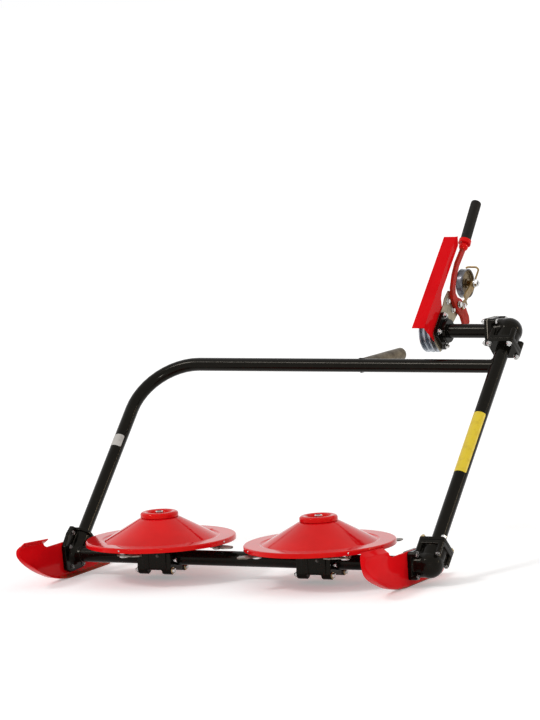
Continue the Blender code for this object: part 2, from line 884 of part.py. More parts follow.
def make_frame_tube(frame):
    """The bent tube that carries the bar from the drive tube."""
    foot = END_SOCKET_RISE + END_PAD_THICKNESS - OVERRUN + SEAT_GAP
    end_x = DRIVE_X
    tube = make_object(
        "frame_tube",
        tube_mesh("frame_tube", frame_path(foot, end_x), TUBE_RADIUS),
        frame,
        finish="black paint",
    )
    path = frame_path(foot - OVERRUN, end_x + OVERRUN)
    bore = tube_mesh("frame bore", path, TUBE_RADIUS - TUBE_WALL)
    saddle_ends = (
        (DRIVE_X, 0, RAIL_RISE - 2 * TUBE_RADIUS),
        (DRIVE_X, 0, RAIL_RISE + 2 * TUBE_RADIUS),
    )
    saddle = rod_mesh("frame saddle", saddle_ends, DRIVE_RADIUS + SEAT_GAP)
    cut(tube, make_object("frame bore", bore, frame), make_object("frame saddle", saddle, frame))


def make_stub_tube(drive):
    """The short tube that carries the input shaft, with a flange at each end."""
    stop = ELBOW_FACE_X - SEAT_GAP
    tube = make_object(
        "stub_tube",
        rod_mesh("stub_tube", ((FLANGE_X, 0, 0), (stop, 0, 0)), DRIVE_RADIUS),
        drive,
        finish="black paint",
    )
    middle = (FLANGE_X + FLANGE_THICKNESS / 2, 0, 0)
    flange = flange_mesh("input flange", FLANGE_SIDE, FLANGE_CORNER, FLANGE_THICKNESS, middle)
    boss_ends = ((FLANGE_X, 0, 0), (FLANGE_X + FLANGE_THICKNESS + FLANGE_BOSS_LENGTH, 0, 0))
    boss = rod_mesh("input boss", boss_ends, FLANGE_BOSS_RADIUS)
    end_middle = (stop - TUBE_FLANGE_THICKNESS / 2, 0, 0)
    end_shape = (ELBOW_FLANGE_SIDE, ELBOW_BOSS_RADIUS, TUBE_FLANGE_THICKNESS)
    end = flange_mesh("stub end flange", *end_shape, end_middle)
    join(
        tube,
        make_object("input flange", flange, drive),
        make_object("input boss", boss, drive),
        make_object("stub end flange", end, drive, rotation=(FRAME_LEAN, 0, 0)),
    )
    bore_ends = ((FLANGE_X - OVERRUN, 0, 0), (stop + OVERRUN, 0, 0))
    bore = rod_mesh("stub bore", bore_ends, SHAFT_RADIUS + PIN_GAP)
    cut(tube, make_object("stub bore", bore, drive))


def pulley_profile():
    """Outer profile of the two-groove pulley and its shaft, along the axis."""
    half = PULLEY_WIDTH / 2
    land = (PULLEY_WIDTH - PULLEY_GROOVES * PULLEY_GROOVE_WIDTH) / (PULLEY_GROOVES + 1)
    floor_inset = (PULLEY_GROOVE_WIDTH - PULLEY_GROOVE_FLOOR) / 2
    floor = PULLEY_RADIUS - PULLEY_GROOVE_DEPTH
    profile = [(0, half), (PULLEY_HUB_RADIUS, half), (PULLEY_HUB_RADIUS, PULLEY_WEB / 2)]
    profile += [(PULLEY_RIM_INNER, PULLEY_WEB / 2), (PULLEY_RIM_INNER, half)]
    height = half
    profile.append((PULLEY_RADIUS, height))
    for _ in range(PULLEY_GROOVES):
        height -= land
        profile.append((PULLEY_RADIUS, height))
        profile.append((floor, height - floor_inset))
        profile.append((floor, height - PULLEY_GROOVE_WIDTH + floor_inset))
        height -= PULLEY_GROOVE_WIDTH
        profile.append((PULLEY_RADIUS, height))
    profile += [(PULLEY_RADIUS, -half), (PULLEY_RIM_INNER, -half)]
    profile += [(PULLEY_RIM_INNER, -PULLEY_WEB / 2), (PULLEY_HUB_RADIUS, -PULLEY_WEB / 2)]
    profile += [(PULLEY_HUB_RADIUS, -half), (SHAFT_RADIUS, -half)]
    profile += [(SHAFT_RADIUS, -half - SHAFT_DEPTH), (0, -half - SHAFT_DEPTH)]
    return profile


def make_input_pulley(drive):
    """The pulley that the tractor's belts turn."""
    axis = make_empty("input_axis", drive, (PULLEY_X, 0, 0))
    pulley = make_object(
        "input_pulley",
        profile_mesh("input_pulley", pulley_profile()),
        axis,
        rotation=(0, -pi / 2, 0),
        finish="bare aluminium",
    )
    turn(pulley, PULLEY_STEPS)


def make_belt_guard(drive):
    """The folded sheet in front of the belts."""
    outline = [lean(front, rise) for front, rise in GUARD_SIDE_POINTS]
    side_x = GUARD_INNER_X + GUARD_SHEET / 2
    guard = make_object(
        "belt_guard",
        side_plate_mesh("belt_guard", [outline], GUARD_SHEET, side_x),
        drive,
        finish="red paint",
    )
    height = GUARD_TOP + GUARD_BOTTOM
    centre = (
        GUARD_OUTER_X - GUARD_WIDTH / 2,
        -GUARD_FRONT + GUARD_SHEET / 2,
        GUARD_TOP - height / 2,
    )
    cover = box_mesh("guard cover", (GUARD_WIDTH, GUARD_SHEET, height), centre)
    join(guard, make_object("guard cover", cover, drive))


def make_lever_bracket(drive):
    """The zinc-plated plate clamped behind the input flange."""
    middle = BRACKET_X + BRACKET_SHEET / 2
    outline = [lean(front, rise) for front, rise in BRACKET_POINTS]
    hole = circle(SHAFT_CLEARANCE_HOLE, steps=ROUND_STEPS)
    bracket = make_object(
        "lever_bracket",
        side_plate_mesh("lever_bracket", [outline, hole], BRACKET_SHEET, middle),
        drive,
        finish="zinc plate",
    )
    pivot = (LEVER_PIVOT_BACK, LEVER_PIVOT_RISE)
    head_x = LEVER_OUTER_X + SEAT_GAP
    pin_ends = ((middle, *pivot), (head_x + LEVER_PIN_HEAD / 2, *pivot))
    head_ends = ((head_x, *pivot), (head_x + LEVER_PIN_HEAD, *pivot))
    pin = rod_mesh("lever pin", pin_ends, LEVER_PIN_RADIUS, SMALL_STEPS)
    head = rod_mesh("lever pin head", head_ends, LEVER_PIN_HEAD_RADIUS, SMALL_STEPS)
    join(
        bracket,
        make_object("lever pin", pin, drive),
        make_object("lever pin head", head, drive),
    )


def make_lever(drive):
    """The tension lever, its grip, the idler's arm and the idler."""
    pivot = make_empty("lever_axis", drive, (0, LEVER_PIVOT_BACK, LEVER_PIVOT_RISE))
    shift = Matrix.Translation((0, -LEVER_PIVOT_BACK, -LEVER_PIVOT_RISE))
    outline = [lean(front, rise) for front, rise in LEVER_POINTS]
    hole = circle(LEVER_PIN_RADIUS + PIN_GAP, (LEVER_PIVOT_BACK, LEVER_PIVOT_RISE))
    middle = LEVER_X + LEVER_THICKNESS / 2
    mesh = side_plate_mesh("tension_lever", [outline, hole], LEVER_THICKNESS, middle)
    mesh.transform(shift)
    lever = make_object("tension_lever", mesh, pivot, finish="lever red")
    top = Vector((middle, -LEVER_TOP_FRONT, LEVER_TOP_RISE))
    along = Vector((0, -sin(GRIP_SLANT), cos(GRIP_SLANT)))
    ball_middle = top + along * LEVER_BALL_RADIUS
    ring_foot = ball_middle + along * (LEVER_BALL_RADIUS - LEVER_RING_INSET)
    ring_top = ring_foot + along * LEVER_RING_HEIGHT
    foot = ring_top + along * SEAT_GAP
    tip = foot + along * GRIP_LENGTH
    rod_tip = tip - along * GRIP_RADIUS
    ball = ball_mesh("lever ball", LEVER_BALL_RADIUS, ball_middle)
    ring = rod_mesh("lever ring", (ring_foot, ring_top), LEVER_RING_RADIUS)
    rod = rod_mesh("grip rod", (ball_middle, rod_tip), GRIP_ROD_RADIUS, SMALL_STEPS)
    join_moved(lever, pivot, shift, ball, ring, rod)
    grip_mesh = rod_mesh("lever_grip", (foot, tip), GRIP_RADIUS)
    grip_mesh.transform(shift)
    grip = make_object("lever_grip", grip_mesh, pivot, finish="black rubber")
    bevel(grip, GRIP_EDGE)
    hole_ends = (foot - along * OVERRUN, rod_tip + along * PIN_GAP)
    grip_hole = rod_mesh("grip hole", hole_ends, GRIP_ROD_RADIUS + PIN_GAP, SMALL_STEPS)
    grip_hole.transform(shift)
    cut(grip, make_object("grip hole", grip_hole, pivot))
    make_idler_arm(pivot, shift)
    make_idler(pivot, shift)


def join_moved(piece, parent, shift, *meshes):
    """Join meshes that are moved to the parent's own origin first."""
    for mesh in meshes:
        mesh.transform(shift)
        join(piece, make_object(mesh.name, mesh, parent))


def arm_mesh():
    """The idler's arm: a strap with a joggle between its foot and its eye."""
    foot = Vector((ARM_FOOT_BACK, ARM_FOOT_RISE))
    reach = Vector((IDLER_BACK, IDLER_RISE)) - foot
    half = ARM_WIDTH / 2
    jog_stop = ARM_JOG_START + ARM_JOG_LENGTH
    line = [
        (ARM_X, -half),
        (ARM_X, ARM_JOG_START),
        (ARM_X - ARM_JOG, jog_stop),
        (ARM_X - ARM_JOG, reach.length + half),
    ]
    outline = line + [(x + ARM_THICKNESS, along) for x, along in reversed(line)]
    mesh = outline_mesh("idler_arm", [outline], ARM_WIDTH)
    unit = reach.normalized()
    columns = ((1, 0, 0), (0, unit.x, unit.y), (0, -unit.y, unit.x))
    turned = Matrix(columns).transposed().to_4x4()
    turned.translation = (0, foot.x, foot.y)
    mesh.transform(turned)
    return mesh


def keeper_path():
    """Centre line of the wire: up from the eye, then over the idler's edge."""
    arm_middle = ARM_X - ARM_JOG + ARM_THICKNESS / 2
    eye = Vector((IDLER_BACK, IDLER_RISE))
    unit = (eye - Vector((ARM_FOOT_BACK, ARM_FOOT_RISE))).normalized()
    root = eye + unit * ARM_WIDTH / 3
    top = eye + unit * (IDLER_RADIUS + KEEPER_CLEARANCE)
    return [
        (arm_middle, *root),
        (arm_middle, *(top - unit * KEEPER_BEND)),
        (arm_middle - KEEPER_BEND / 4, *(top - unit * KEEPER_BEND / 4)),
        (arm_middle - KEEPER_BEND, *top),
        (PULLEY_X - IDLER_WIDTH / 2, *top),
    ]


def make_idler_arm(pivot, shift):
    """The idler's arm with its axle, and the wire that keeps the belts on the idler."""
    mesh = arm_mesh()
    mesh.transform(shift)
    arm = make_object("idler_arm", mesh, pivot, finish="zinc plate")
    eye = (IDLER_BACK, IDLER_RISE)
    near = PULLEY_X - IDLER_WIDTH / 2
    far = PULLEY_X + IDLER_WIDTH / 2 + PIN_GAP
    outer = ARM_X - ARM_JOG + ARM_THICKNESS
    rods = (
        ("idler axle", near - AXLE_HEAD / 2, outer + AXLE_OUT, AXLE_RADIUS),
        ("axle head", near - AXLE_HEAD, near - PIN_GAP, AXLE_HEAD_RADIUS),
        ("axle spacer", far, outer + AXLE_NUT, AXLE_HEAD_RADIUS),
    )
    for name, start, stop, radius in rods:
        rod = rod_mesh(name, ((start, *eye), (stop, *eye)), radius, SMALL_STEPS)
        join_moved(arm, pivot, shift, rod)
    join_moved(arm, pivot, shift, tube_mesh("belt keeper", keeper_path(), KEEPER_RADIUS, WIRE_SIDES))


def make_idler(pivot, shift):
    """The idler pulley, which spins on the arm's axle."""
    place = shift @ Vector((PULLEY_X, IDLER_BACK, IDLER_RISE))
    axis = make_empty("idler_axis", pivot, place)
    idler = make_object(
        "idler_pulley",
        profile_mesh("idler_pulley", idler_profile(), closed=True),
        axis,
        rotation=(0, -pi / 2, 0),
        finish="bare steel",
    )
    turn(idler, IDLER_STEPS)


def idler_profile():
    """Closed profile of the idler, webbed and lipped, round its axle hole."""
    half = IDLER_WIDTH / 2
    hole = AXLE_RADIUS + PIN_GAP
    web = IDLER_WEB / 2
    inner = IDLER_RADIUS - IDLER_RIM
    return [
        (hole, half),
        (IDLER_HUB_RADIUS, half),
        (IDLER_HUB_RADIUS, web),
        (inner, web),
        (inner, half),
        (IDLER_RADIUS + IDLER_LIP, half),
        (IDLER_RADIUS, half - IDLER_RIM),
        (IDLER_RADIUS, IDLER_RIM - half),
        (IDLER_RADIUS + IDLER_LIP, -half),
        (inner, -half),
        (inner, -web),
        (IDLER_HUB_RADIUS, -web),
        (IDLER_HUB_RADIUS, -half),
        (hole, -half),
    ]


def make_hitch_spigot(deck):
    """The round tube that plugs into the tractor, welded behind the rail."""
    rail_y = RAIL_RISE * sin(FRAME_LEAN)
    rail_z = RAIL_RISE * cos(FRAME_LEAN)
    stop_y = rail_y + SPIGOT_LENGTH
    ends = ((SPIGOT_X, rail_y, rail_z), (SPIGOT_X, stop_y, rail_z))
    spigot = make_object(
        "hitch_spigot",
        rod_mesh("hitch_spigot", ends, SPIGOT_RADIUS),
        deck,
        finish="spigot steel",
    )
    bore_ends = ((SPIGOT_X, rail_y - OVERRUN, rail_z), (SPIGOT_X, stop_y + OVERRUN, rail_z))
    bore = rod_mesh("spigot bore", bore_ends, SPIGOT_RADIUS - SPIGOT_WALL)
    saddle_ends = (
        (SPIGOT_X - 2 * SPIGOT_RADIUS, rail_y, rail_z),
        (SPIGOT_X + 2 * SPIGOT_RADIUS, rail_y, rail_z),
    )
    saddle = rod_mesh("spigot saddle", saddle_ends, TUBE_RADIUS + SEAT_GAP)
    cut(
        spigot,
        make_object("spigot saddle", saddle, deck),
        make_object("spigot bore", bore, deck),
    )


def make_gearbox(name, deck, disc_x):
    """A disc gearbox: a casting clamped round the bar, with a bearing neck."""
    height = GEARBOX_TOP + GEARBOX_DROP
    place = (disc_x, 0, 0)
    size = (GEARBOX_WIDTH - GEARBOX_LUG_WIDTH, GEARBOX_DEPTH, height)
    body = make_object(
        name,
        box_mesh(name, size, (0, 0, GEARBOX_TOP - height / 2)),
        deck,
        place,
        finish="black paint",
    )
    bevel(body, GEARBOX_EDGE)
    lug_x = (GEARBOX_WIDTH - GEARBOX_LUG_WIDTH) / 2
    for middle, word in ((-lug_x, " left lug"), (lug_x, " right lug")):
        label = name + word
        lug = side_plate_mesh(label, [GEARBOX_LUG_POINTS], GEARBOX_LUG_WIDTH, middle)
        join(body, make_object(label, lug, deck, place))
    neck = rod_mesh(name + " neck", ((0, 0, 0), (0, 0, GEARBOX_NECK_TOP)), GEARBOX_NECK_RADIUS)
    join(body, make_object(name + " neck", neck, deck, place))
    tunnel_ends = ((-GEARBOX_WIDTH, 0, 0), (GEARBOX_WIDTH, 0, 0))
    tunnel = rod_mesh(name + " tunnel", tunnel_ends, BAR_RADIUS + SEAT_GAP)
    bore_ends = ((0, 0, SPINDLE_LOW - OVERRUN), (0, 0, GEARBOX_NECK_TOP + OVERRUN))
    bore = rod_mesh(name + " bore", bore_ends, SPINDLE_RADIUS + PIN_GAP)
    cut(
        body,
        make_object(name + " tunnel", tunnel, deck, place),
        make_object(name + " bore", bore, deck, place),
    )


def disc_profile():
    """Top surface of a disc, from its centre hole out and down to the rim."""
    foot = DISC_RADIUS - DISC_RIM_WIDTH
    return [
        (SPINDLE_RADIUS, DISC_TOP),
        (CAP_RADIUS - CAP_SEAT_INSET, DISC_TOP),
        (foot - DISC_GROOVE_WIDTH, DISC_RIM_HIGH - DISC_GROOVE),
        (foot, DISC_RIM_HIGH),
        (DISC_RADIUS - DISC_RIM_BEND, DISC_RIM_HIGH),
        (DISC_RADIUS - DISC_RIM_BEND / 3, DISC_RIM_HIGH - DISC_RIM_BEND / 3),
        (DISC_RADIUS, DISC_RIM_HIGH - DISC_RIM_BEND),
        (DISC_RADIUS, DISC_RIM_LOW),
    ]


def make_disc(side, deck, disc_x, first_angle, swings):
    """A cutting disc with its hub, cap, studs and a blade for each swing."""
    angles = [first_angle + tau * place / len(swings) for place in range(len(swings))]
    axis = make_empty("disc_axis_" + side, deck, (disc_x, 0, 0))
    name = "disc_" + side
    disc = make_object(name, profile_mesh(name, disc_profile()), axis, finish="red paint")
    turn(disc, DISC_STEPS)
    sheet = disc.modifiers.new("sheet", "SOLIDIFY")
    sheet.thickness = DISC_SHEET
    sheet.offset = -1.0
    sheet.use_even_offset = True
    head_top = BLADE_LOW - SEAT_GAP
    head_low = head_top - STUD_HEAD_THICKNESS
    collars, shanks, heads = [], [], []
    for angle in angles:
        x = PITCH_RADIUS * cos(angle)
        y = PITCH_RADIUS * sin(angle)
        top = (x, y, DISC_RIM_HIGH - DISC_SHEET / 2)
        collars.append((top, (x, y, BLADE_TOP + SEAT_GAP)))
        shanks.append((top, (x, y, (head_top + head_low) / 2)))
        heads.append(((x, y, head_top), (x, y, head_low)))
    for label, pairs, radius in (
        ("collars", collars, STUD_COLLAR_RADIUS),
        ("shanks", shanks, STUD_RADIUS),
        ("heads", heads, STUD_HEAD_RADIUS),
    ):
        title = name + " stud " + label
        join(disc, make_object(title, rods_mesh(title, pairs, radius), axis))
    make_hub("disc_hub_" + side, axis)
    make_cap("disc_cap_" + side, axis)
    for place, (angle, swing) in enumerate(zip(angles, swings)):
        make_blade("blade_%s_%d" % (side, place + 1), axis, angle, swing)


def make_hub(name, axis):
    """The hub under the disc, on the spindle that enters the gearbox."""
    top = DISC_TOP - DISC_SHEET - SEAT_GAP
    profile = [
        (0, top),
        (HUB_RADIUS, top),
        (HUB_RADIUS, top - HUB_THICKNESS),
        (HUB_NECK_RADIUS, top - HUB_THICKNESS),
        (HUB_NECK_RADIUS, top - HUB_NECK_DROP),
        (SPINDLE_RADIUS, top - HUB_NECK_DROP),
        (SPINDLE_RADIUS, SPINDLE_LOW),
        (0, SPINDLE_LOW),
    ]
    hub = make_object(name, profile_mesh(name, profile), axis, finish="bare steel")
    turn(hub)


def make_cap(name, axis):
    """The rolled cap on the disc, with the nut in its dish."""
    base = DISC_TOP + SEAT_GAP
    crown = base + CAP_HEIGHT
    floor = base + CAP_DISH_FLOOR
    nut = base + CAP_NUT_TOP
    slope = CAP_CROWN_RADIUS - CAP_DISH_RADIUS
    outer = CAP_RADIUS - CAP_CROWN_RADIUS
    profile = [(0, nut), (CAP_NUT_RADIUS, nut), (CAP_NUT_RADIUS, floor), (CAP_DISH_RADIUS, floor)]
    turns = [pi / 2 * (step + 1) / ROLL_STEPS for step in range(ROLL_STEPS)]
    for turned in turns:
        radius = CAP_CROWN_RADIUS - slope * cos(turned)
        profile.append((radius, floor + (crown - floor) * sin(turned)))
    for turned in turns:
        radius = CAP_CROWN_RADIUS + outer * sin(turned)
        profile.append((radius, base + CAP_HEIGHT * (1 + cos(turned)) / 2))
    profile += [(CAP_RADIUS, base), (0, base)]
    cap = make_object(name, profile_mesh(name, profile), axis, finish="red paint")
    turn(cap, CAP_STEPS)


def make_blade(name, axis, angle, swing):
    """A free-swinging blade on its own axis, turned by its swing from straight outwards."""
    x = PITCH_RADIUS * cos(angle)
    y = PITCH_RADIUS * sin(angle)
    middle = (BLADE_TOP + BLADE_LOW) / 2
    reach = TIP_RADIUS - PITCH_RADIUS
    half = BLADE_WIDTH / 2
    shoulder = reach * (1 - BLADE_POINT_SHARE / 2)
    tip = half * BLADE_EDGE_SHARE
    outline = [
        (-BLADE_TAIL, -half + BLADE_TAIL / 2),
        (-BLADE_TAIL / 2, -half),
        (shoulder, -half),
        (reach, -tip),
        (reach, tip),
        (shoulder, half),
        (-BLADE_TAIL / 2, half),
        (-BLADE_TAIL, half - BLADE_TAIL / 2),
    ]
    outlines = [outline, circle(STUD_RADIUS + PIN_GAP)]
    make_object(
        name,
        outline_mesh(name, outlines, BLADE_THICKNESS),
        axis,
        (x, y, middle),
        (0, 0, angle + swing),
        finish="bare steel",
    )


def world_bounds():
    """World bounds of the finished pieces."""
    graph = bpy.context.evaluated_depsgraph_get()
    corners = []
    for piece in PARTS.objects:
        if piece.type == "MESH":
            found = piece.evaluated_get(graph)
            mesh = found.to_mesh()
            corners += [found.matrix_world @ vertex.co for vertex in mesh.vertices]
            found.to_mesh_clear()
    low = [min(corner[k] for corner in corners) for k in range(3)]
    high = [max(corner[k] for corner in corners) for k in range(3)]
    return low, high


def sole_slope():
    """How far the soles rise to the rear against the deck."""
    start = SHOE_FOLDED_EDGE[SHOE_SOLE_START]
    stop = SHOE_FOLDED_EDGE[SHOE_SOLE_END]
    return atan2(stop[1] - start[1], stop[0] - start[0])


def build():
    """Assemble the mower and stand it on its soles."""
    deck = make_empty("deck", rotation=(-sole_slope(), 0, 0))
    frame = make_empty("leaning_frame", deck, rotation=(-FRAME_LEAN, 0, 0))
    drive = make_empty("input_frame", frame, (0, 0, STUB_RISE))
    make_cutter_bar(deck)
    make_end_casting(deck)
    make_shoes(deck)
    make_elbow("lower_elbow", deck, frame, 0.0, 1)
    make_elbow("upper_elbow", deck, frame, STUB_RISE, -1)
    make_drive_tube(frame)
    make_frame_tube(frame)
    make_stub_tube(drive)
    make_input_pulley(drive)
    make_belt_guard(drive)
    make_lever_bracket(drive)
    make_lever(drive)
    make_hitch_spigot(deck)
    make_gearbox("gearbox_left", deck, -DISC_X)
    make_gearbox("gearbox_right", deck, DISC_X)
    make_disc("left", deck, -DISC_X, LEFT_BLADE_ANGLE, LEFT_BLADE_SWINGS)
    make_disc("right", deck, DISC_X, RIGHT_BLADE_ANGLE, RIGHT_BLADE_SWINGS)
    bpy.context.view_layer.update()
    low, high = world_bounds()
    deck.location = (-(low[0] + high[0]) / 2, -(low[1] + high[1]) / 2, -low[2])
    bpy.context.view_layer.update()


build()
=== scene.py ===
"""Dresses the two-disc mower: finishes, fasteners, stickers, floor, light and camera."""

import json
from math import atan2, cos, pi, radians, sin, sqrt, tau

import bmesh
import bpy
from mathutils import Matrix, Vector

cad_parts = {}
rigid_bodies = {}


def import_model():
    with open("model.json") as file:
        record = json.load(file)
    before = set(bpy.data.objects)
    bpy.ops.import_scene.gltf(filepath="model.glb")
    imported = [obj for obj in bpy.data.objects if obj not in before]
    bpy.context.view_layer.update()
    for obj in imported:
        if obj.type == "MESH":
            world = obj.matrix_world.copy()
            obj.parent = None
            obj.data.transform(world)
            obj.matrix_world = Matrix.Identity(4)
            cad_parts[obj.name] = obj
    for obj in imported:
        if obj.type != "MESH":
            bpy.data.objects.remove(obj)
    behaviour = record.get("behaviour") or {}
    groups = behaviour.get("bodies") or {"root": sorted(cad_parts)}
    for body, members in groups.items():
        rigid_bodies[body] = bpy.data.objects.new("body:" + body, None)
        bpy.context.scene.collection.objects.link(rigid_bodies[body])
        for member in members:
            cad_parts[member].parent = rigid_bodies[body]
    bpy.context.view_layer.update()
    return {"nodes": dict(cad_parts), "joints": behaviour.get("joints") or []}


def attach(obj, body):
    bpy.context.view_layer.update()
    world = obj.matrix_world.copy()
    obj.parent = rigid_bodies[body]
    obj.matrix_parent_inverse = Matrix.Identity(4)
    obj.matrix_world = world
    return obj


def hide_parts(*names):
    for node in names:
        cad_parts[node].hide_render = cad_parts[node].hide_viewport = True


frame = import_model()
nodes = frame["nodes"]
pieces = bpy.context.scene.collection.objects

# The deck is the level of the cutter bar. Its origin lies on the bar's axis midway between the
# discs, and it tips back a little with the soles, so it is read from the left disc's spindle.
# The tube frame leans back over it, and the input shaft crosses the top of the drive tube.
DISC_X = 0.250
FRAME_LEAN = radians(45.0)
INPUT_RISE = 0.799

joints = {joint["name"]: joint for joint in frame["joints"]}
spindle = joints["disc_left_spin"]
upright = Vector(spindle["axis"])
pitch = atan2(-upright.y, upright.z)
deck = Matrix.Translation(Vector(spindle["pos_m"])) @ Matrix.Rotation(pitch, 4, "X")
deck = deck @ Matrix.Translation((DISC_X, 0, 0))
leaning = deck @ Matrix.Rotation(-FRAME_LEAN, 4, "X")
drive = leaning @ Matrix.Translation((0, 0, INPUT_RISE))
disc_places = {
    "left": deck @ Matrix.Translation((-DISC_X, 0, 0)),
    "right": deck @ Matrix.Translation((DISC_X, 0, 0)),
}


# The cutting discs are pressed from 3 mm sheet as shallow cones, with a ringed groove at the foot
# of the cone and a turned-down rim, and sprayed with thick red enamel. A round dimple is pressed
# into the groove at four places.
class Feed:
    """A socket of a finish's tree that takes part in sums."""

    def __init__(self, tree, output):
        self.tree = tree
        self.output = output

    def node(self, kind, settings=None, inputs=None, out=0):
        """Add a node with its settings and its sockets' values or links."""
        made = self.tree.nodes.new(kind)
        for name, value in (settings or {}).items():
            setattr(made, name, value)
        for name, value in (inputs or {}).items():
            if isinstance(value, Feed):
                self.tree.links.new(value.output, made.inputs[name])
            else:
                made.inputs[name].default_value = value
        return Feed(self.tree, made.outputs[out])

    def sum(self, operation, first, second):
        return self.node("ShaderNodeMath", {"operation": operation}, {0: first, 1: second})

    def __add__(self, other):
        return self.sum("ADD", self, other)

    __radd__ = __add__

    def __mul__(self, other):
        return self.sum("MULTIPLY", self, other)

    __rmul__ = __mul__

    def __sub__(self, other):
        return self.sum("SUBTRACT", self, other)

    def __pow__(self, other):
        return self.sum("POWER", self, other)

    def part(self, letter):
        """One coordinate of this place."""
        place = "XYZ".index(letter)
        return self.node("ShaderNodeSeparateXYZ", None, {"Vector": self}, out=place)

    def noise(self, scale, detail=3.0, roughness=0.5):
        """Cloudy noise over this place, from 0 to 1."""
        values = {"Vector": self, "Scale": scale, "Detail": detail, "Roughness": roughness}
        return self.node("ShaderNodeTexNoise", None, values)

    def stretched(self, scale):
        """This place with each direction scaled."""
        return self.node("ShaderNodeMapping", None, {"Vector": self, "Scale": scale})

    def between(self, low, high, first=0.0, last=1.0):
        """This value spread from low..high to first..last, and held at the ends."""
        values = {"Value": self, "From Min": low, "From Max": high, "To Min": first, "To Max": last}
        return self.node("ShaderNodeMapRange", {"clamp": True}, values)

    def mix(self, first, second):
        """First colour where this is 0, second where it is 1."""
        values = {"Factor": self, 6: first, 7: second}
        return self.node("ShaderNodeMix", {"data_type": "RGBA"}, values, out=2)


def finish(name, recipe, settings=None):
    """A material whose varying inputs come from a recipe and the rest from settings."""
    material = bpy.data.materials.new(name)
    material.use_nodes = True
    tree = material.node_tree
    shader = tree.nodes["Principled BSDF"]
    for socket, value in (settings or {}).items():
        shader.inputs[socket].default_value = value
    place = Feed(tree, tree.nodes.new("ShaderNodeTexCoord").outputs["Object"])
    for socket, value in recipe(place).items():
        tree.links.new(value.output, shader.inputs[socket])
    return material


def relief(place, height, distance, strength):
    """A bump from a height."""
    values = {"Height": height, "Distance": distance, "Strength": strength}
    return place.node("ShaderNodeBump", None, values)


def walls(work, rings, closed=False):
    """Faces between rings of corners, where a ring of one corner is a point."""
    pairs = list(zip(rings, rings[1:]))
    if closed:
        pairs.append((rings[-1], rings[0]))
    for ring, after in pairs:
        steps = max(len(ring), len(after))
        for step in range(steps):
            following = (step + 1) % steps
            corners = (
                ring[step % len(ring)],
                ring[following % len(ring)],
                after[following % len(after)],
                after[step % len(after)],
            )
            work.faces.new(list(dict.fromkeys(corners)))


def turned(work, profile, steps, place=Matrix(), closed=False):
    """Spin a (radius, height) line round the Z axis of a place."""
    rings = []
    for radius, height in profile:
        count = steps if radius > 0 else 1
        turns = [tau * step / steps for step in range(count)]
        corners = [(radius * cos(turn), radius * sin(turn), height) for turn in turns]
        rings.append([work.verts.new(place @ Vector(corner)) for corner in corners])
    walls(work, rings, closed)


def rounded(points, cuts, steps=6):
    """Round the inner points of a line, each by its own cut."""
    made = [tuple(points[0])]
    for place in range(1, len(points) - 1):
        before, here, after = (Vector(point) for point in points[place - 1 : place + 2])
        back, ahead = before - here, after - here
        reach = min(cuts[place], 0.49 * back.length, 0.49 * ahead.length)
        if reach <= 0:
            made.append(tuple(here))
            continue
        start = here + back.normalized() * reach
        stop = here + ahead.normalized() * reach
        for step in range(steps + 1):
            share = step / steps
            bend = start * (1 - share) ** 2 + here * 2 * share * (1 - share) + stop * share**2
            made.append(tuple(bend))
    made.append(tuple(points[-1]))
    return made


def dress(piece, body, stands_for=()):
    """Link a piece that is in place, say what it rides on, and hide the nodes it replaces."""
    pieces.link(piece)
    bpy.context.view_layer.update()
    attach(piece, body)
    if stands_for:
        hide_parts(*stands_for)
    return piece


def shade(mesh, sharp):
    """Smooth shading that keeps edges sharper than an angle in degrees."""
    mesh.shade_smooth()
    mesh.set_sharp_from_angle(angle=radians(sharp))


def solid(
    name, work, material, body, place=Matrix(), stands_for=(), slot=None, sharp=35.0, own_axes=False
):
    """A piece from a finished bmesh. It keeps its own axes where its finish runs round them."""
    bmesh.ops.recalc_face_normals(work, faces=work.faces)
    mesh = bpy.data.meshes.new(name)
    work.to_mesh(mesh)
    work.free()
    shade(mesh, sharp)
    mesh.materials.append(material)
    piece = bpy.data.objects.new(name, mesh)
    if own_axes:
        piece.matrix_world = place
    else:
        mesh.transform(place)
    even = piece.modifiers.new("even", "WEIGHTED_NORMAL")
    even.keep_sharp = True
    return dress(piece, body, stands_for)


RED = (0.70, 0.006, 0.009, 1.0)
RED_DEEP = (0.60, 0.004, 0.007, 1.0)
RED_GLOSS = {"Specular IOR Level": 0.21, "Specular Tint": (1.0, 0.34, 0.14, 1.0)}
RED_SATIN = {"Specular IOR Level": 0.03, "Specular Tint": (1.0, 0.30, 0.20, 1.0)}


def sprayed_red(place):
    """Thick glossy enamel, dusty in places, with fine scratches."""
    clouds = place.noise(9.0)
    dust = place.noise(55.0, 6.0, 0.7).between(0.56, 0.78)
    scratches = place.stretched((260.0, 14.0, 60.0)).noise(1.0, 2.0).between(0.72, 0.76)
    waves = place.noise(45.0, 2.0)
    return {
        "Base Color": clouds.between(0.35, 0.65).mix(RED_DEEP, RED),
        "Roughness": 0.07 + 0.09 * dust + 0.14 * scratches,
        "Normal": relief(place, waves, 0.0004, 0.16),
    }


red_enamel = finish("red_enamel", sprayed_red, RED_GLOSS)
guard_enamel = finish("guard_enamel", sprayed_red, RED_SATIN)

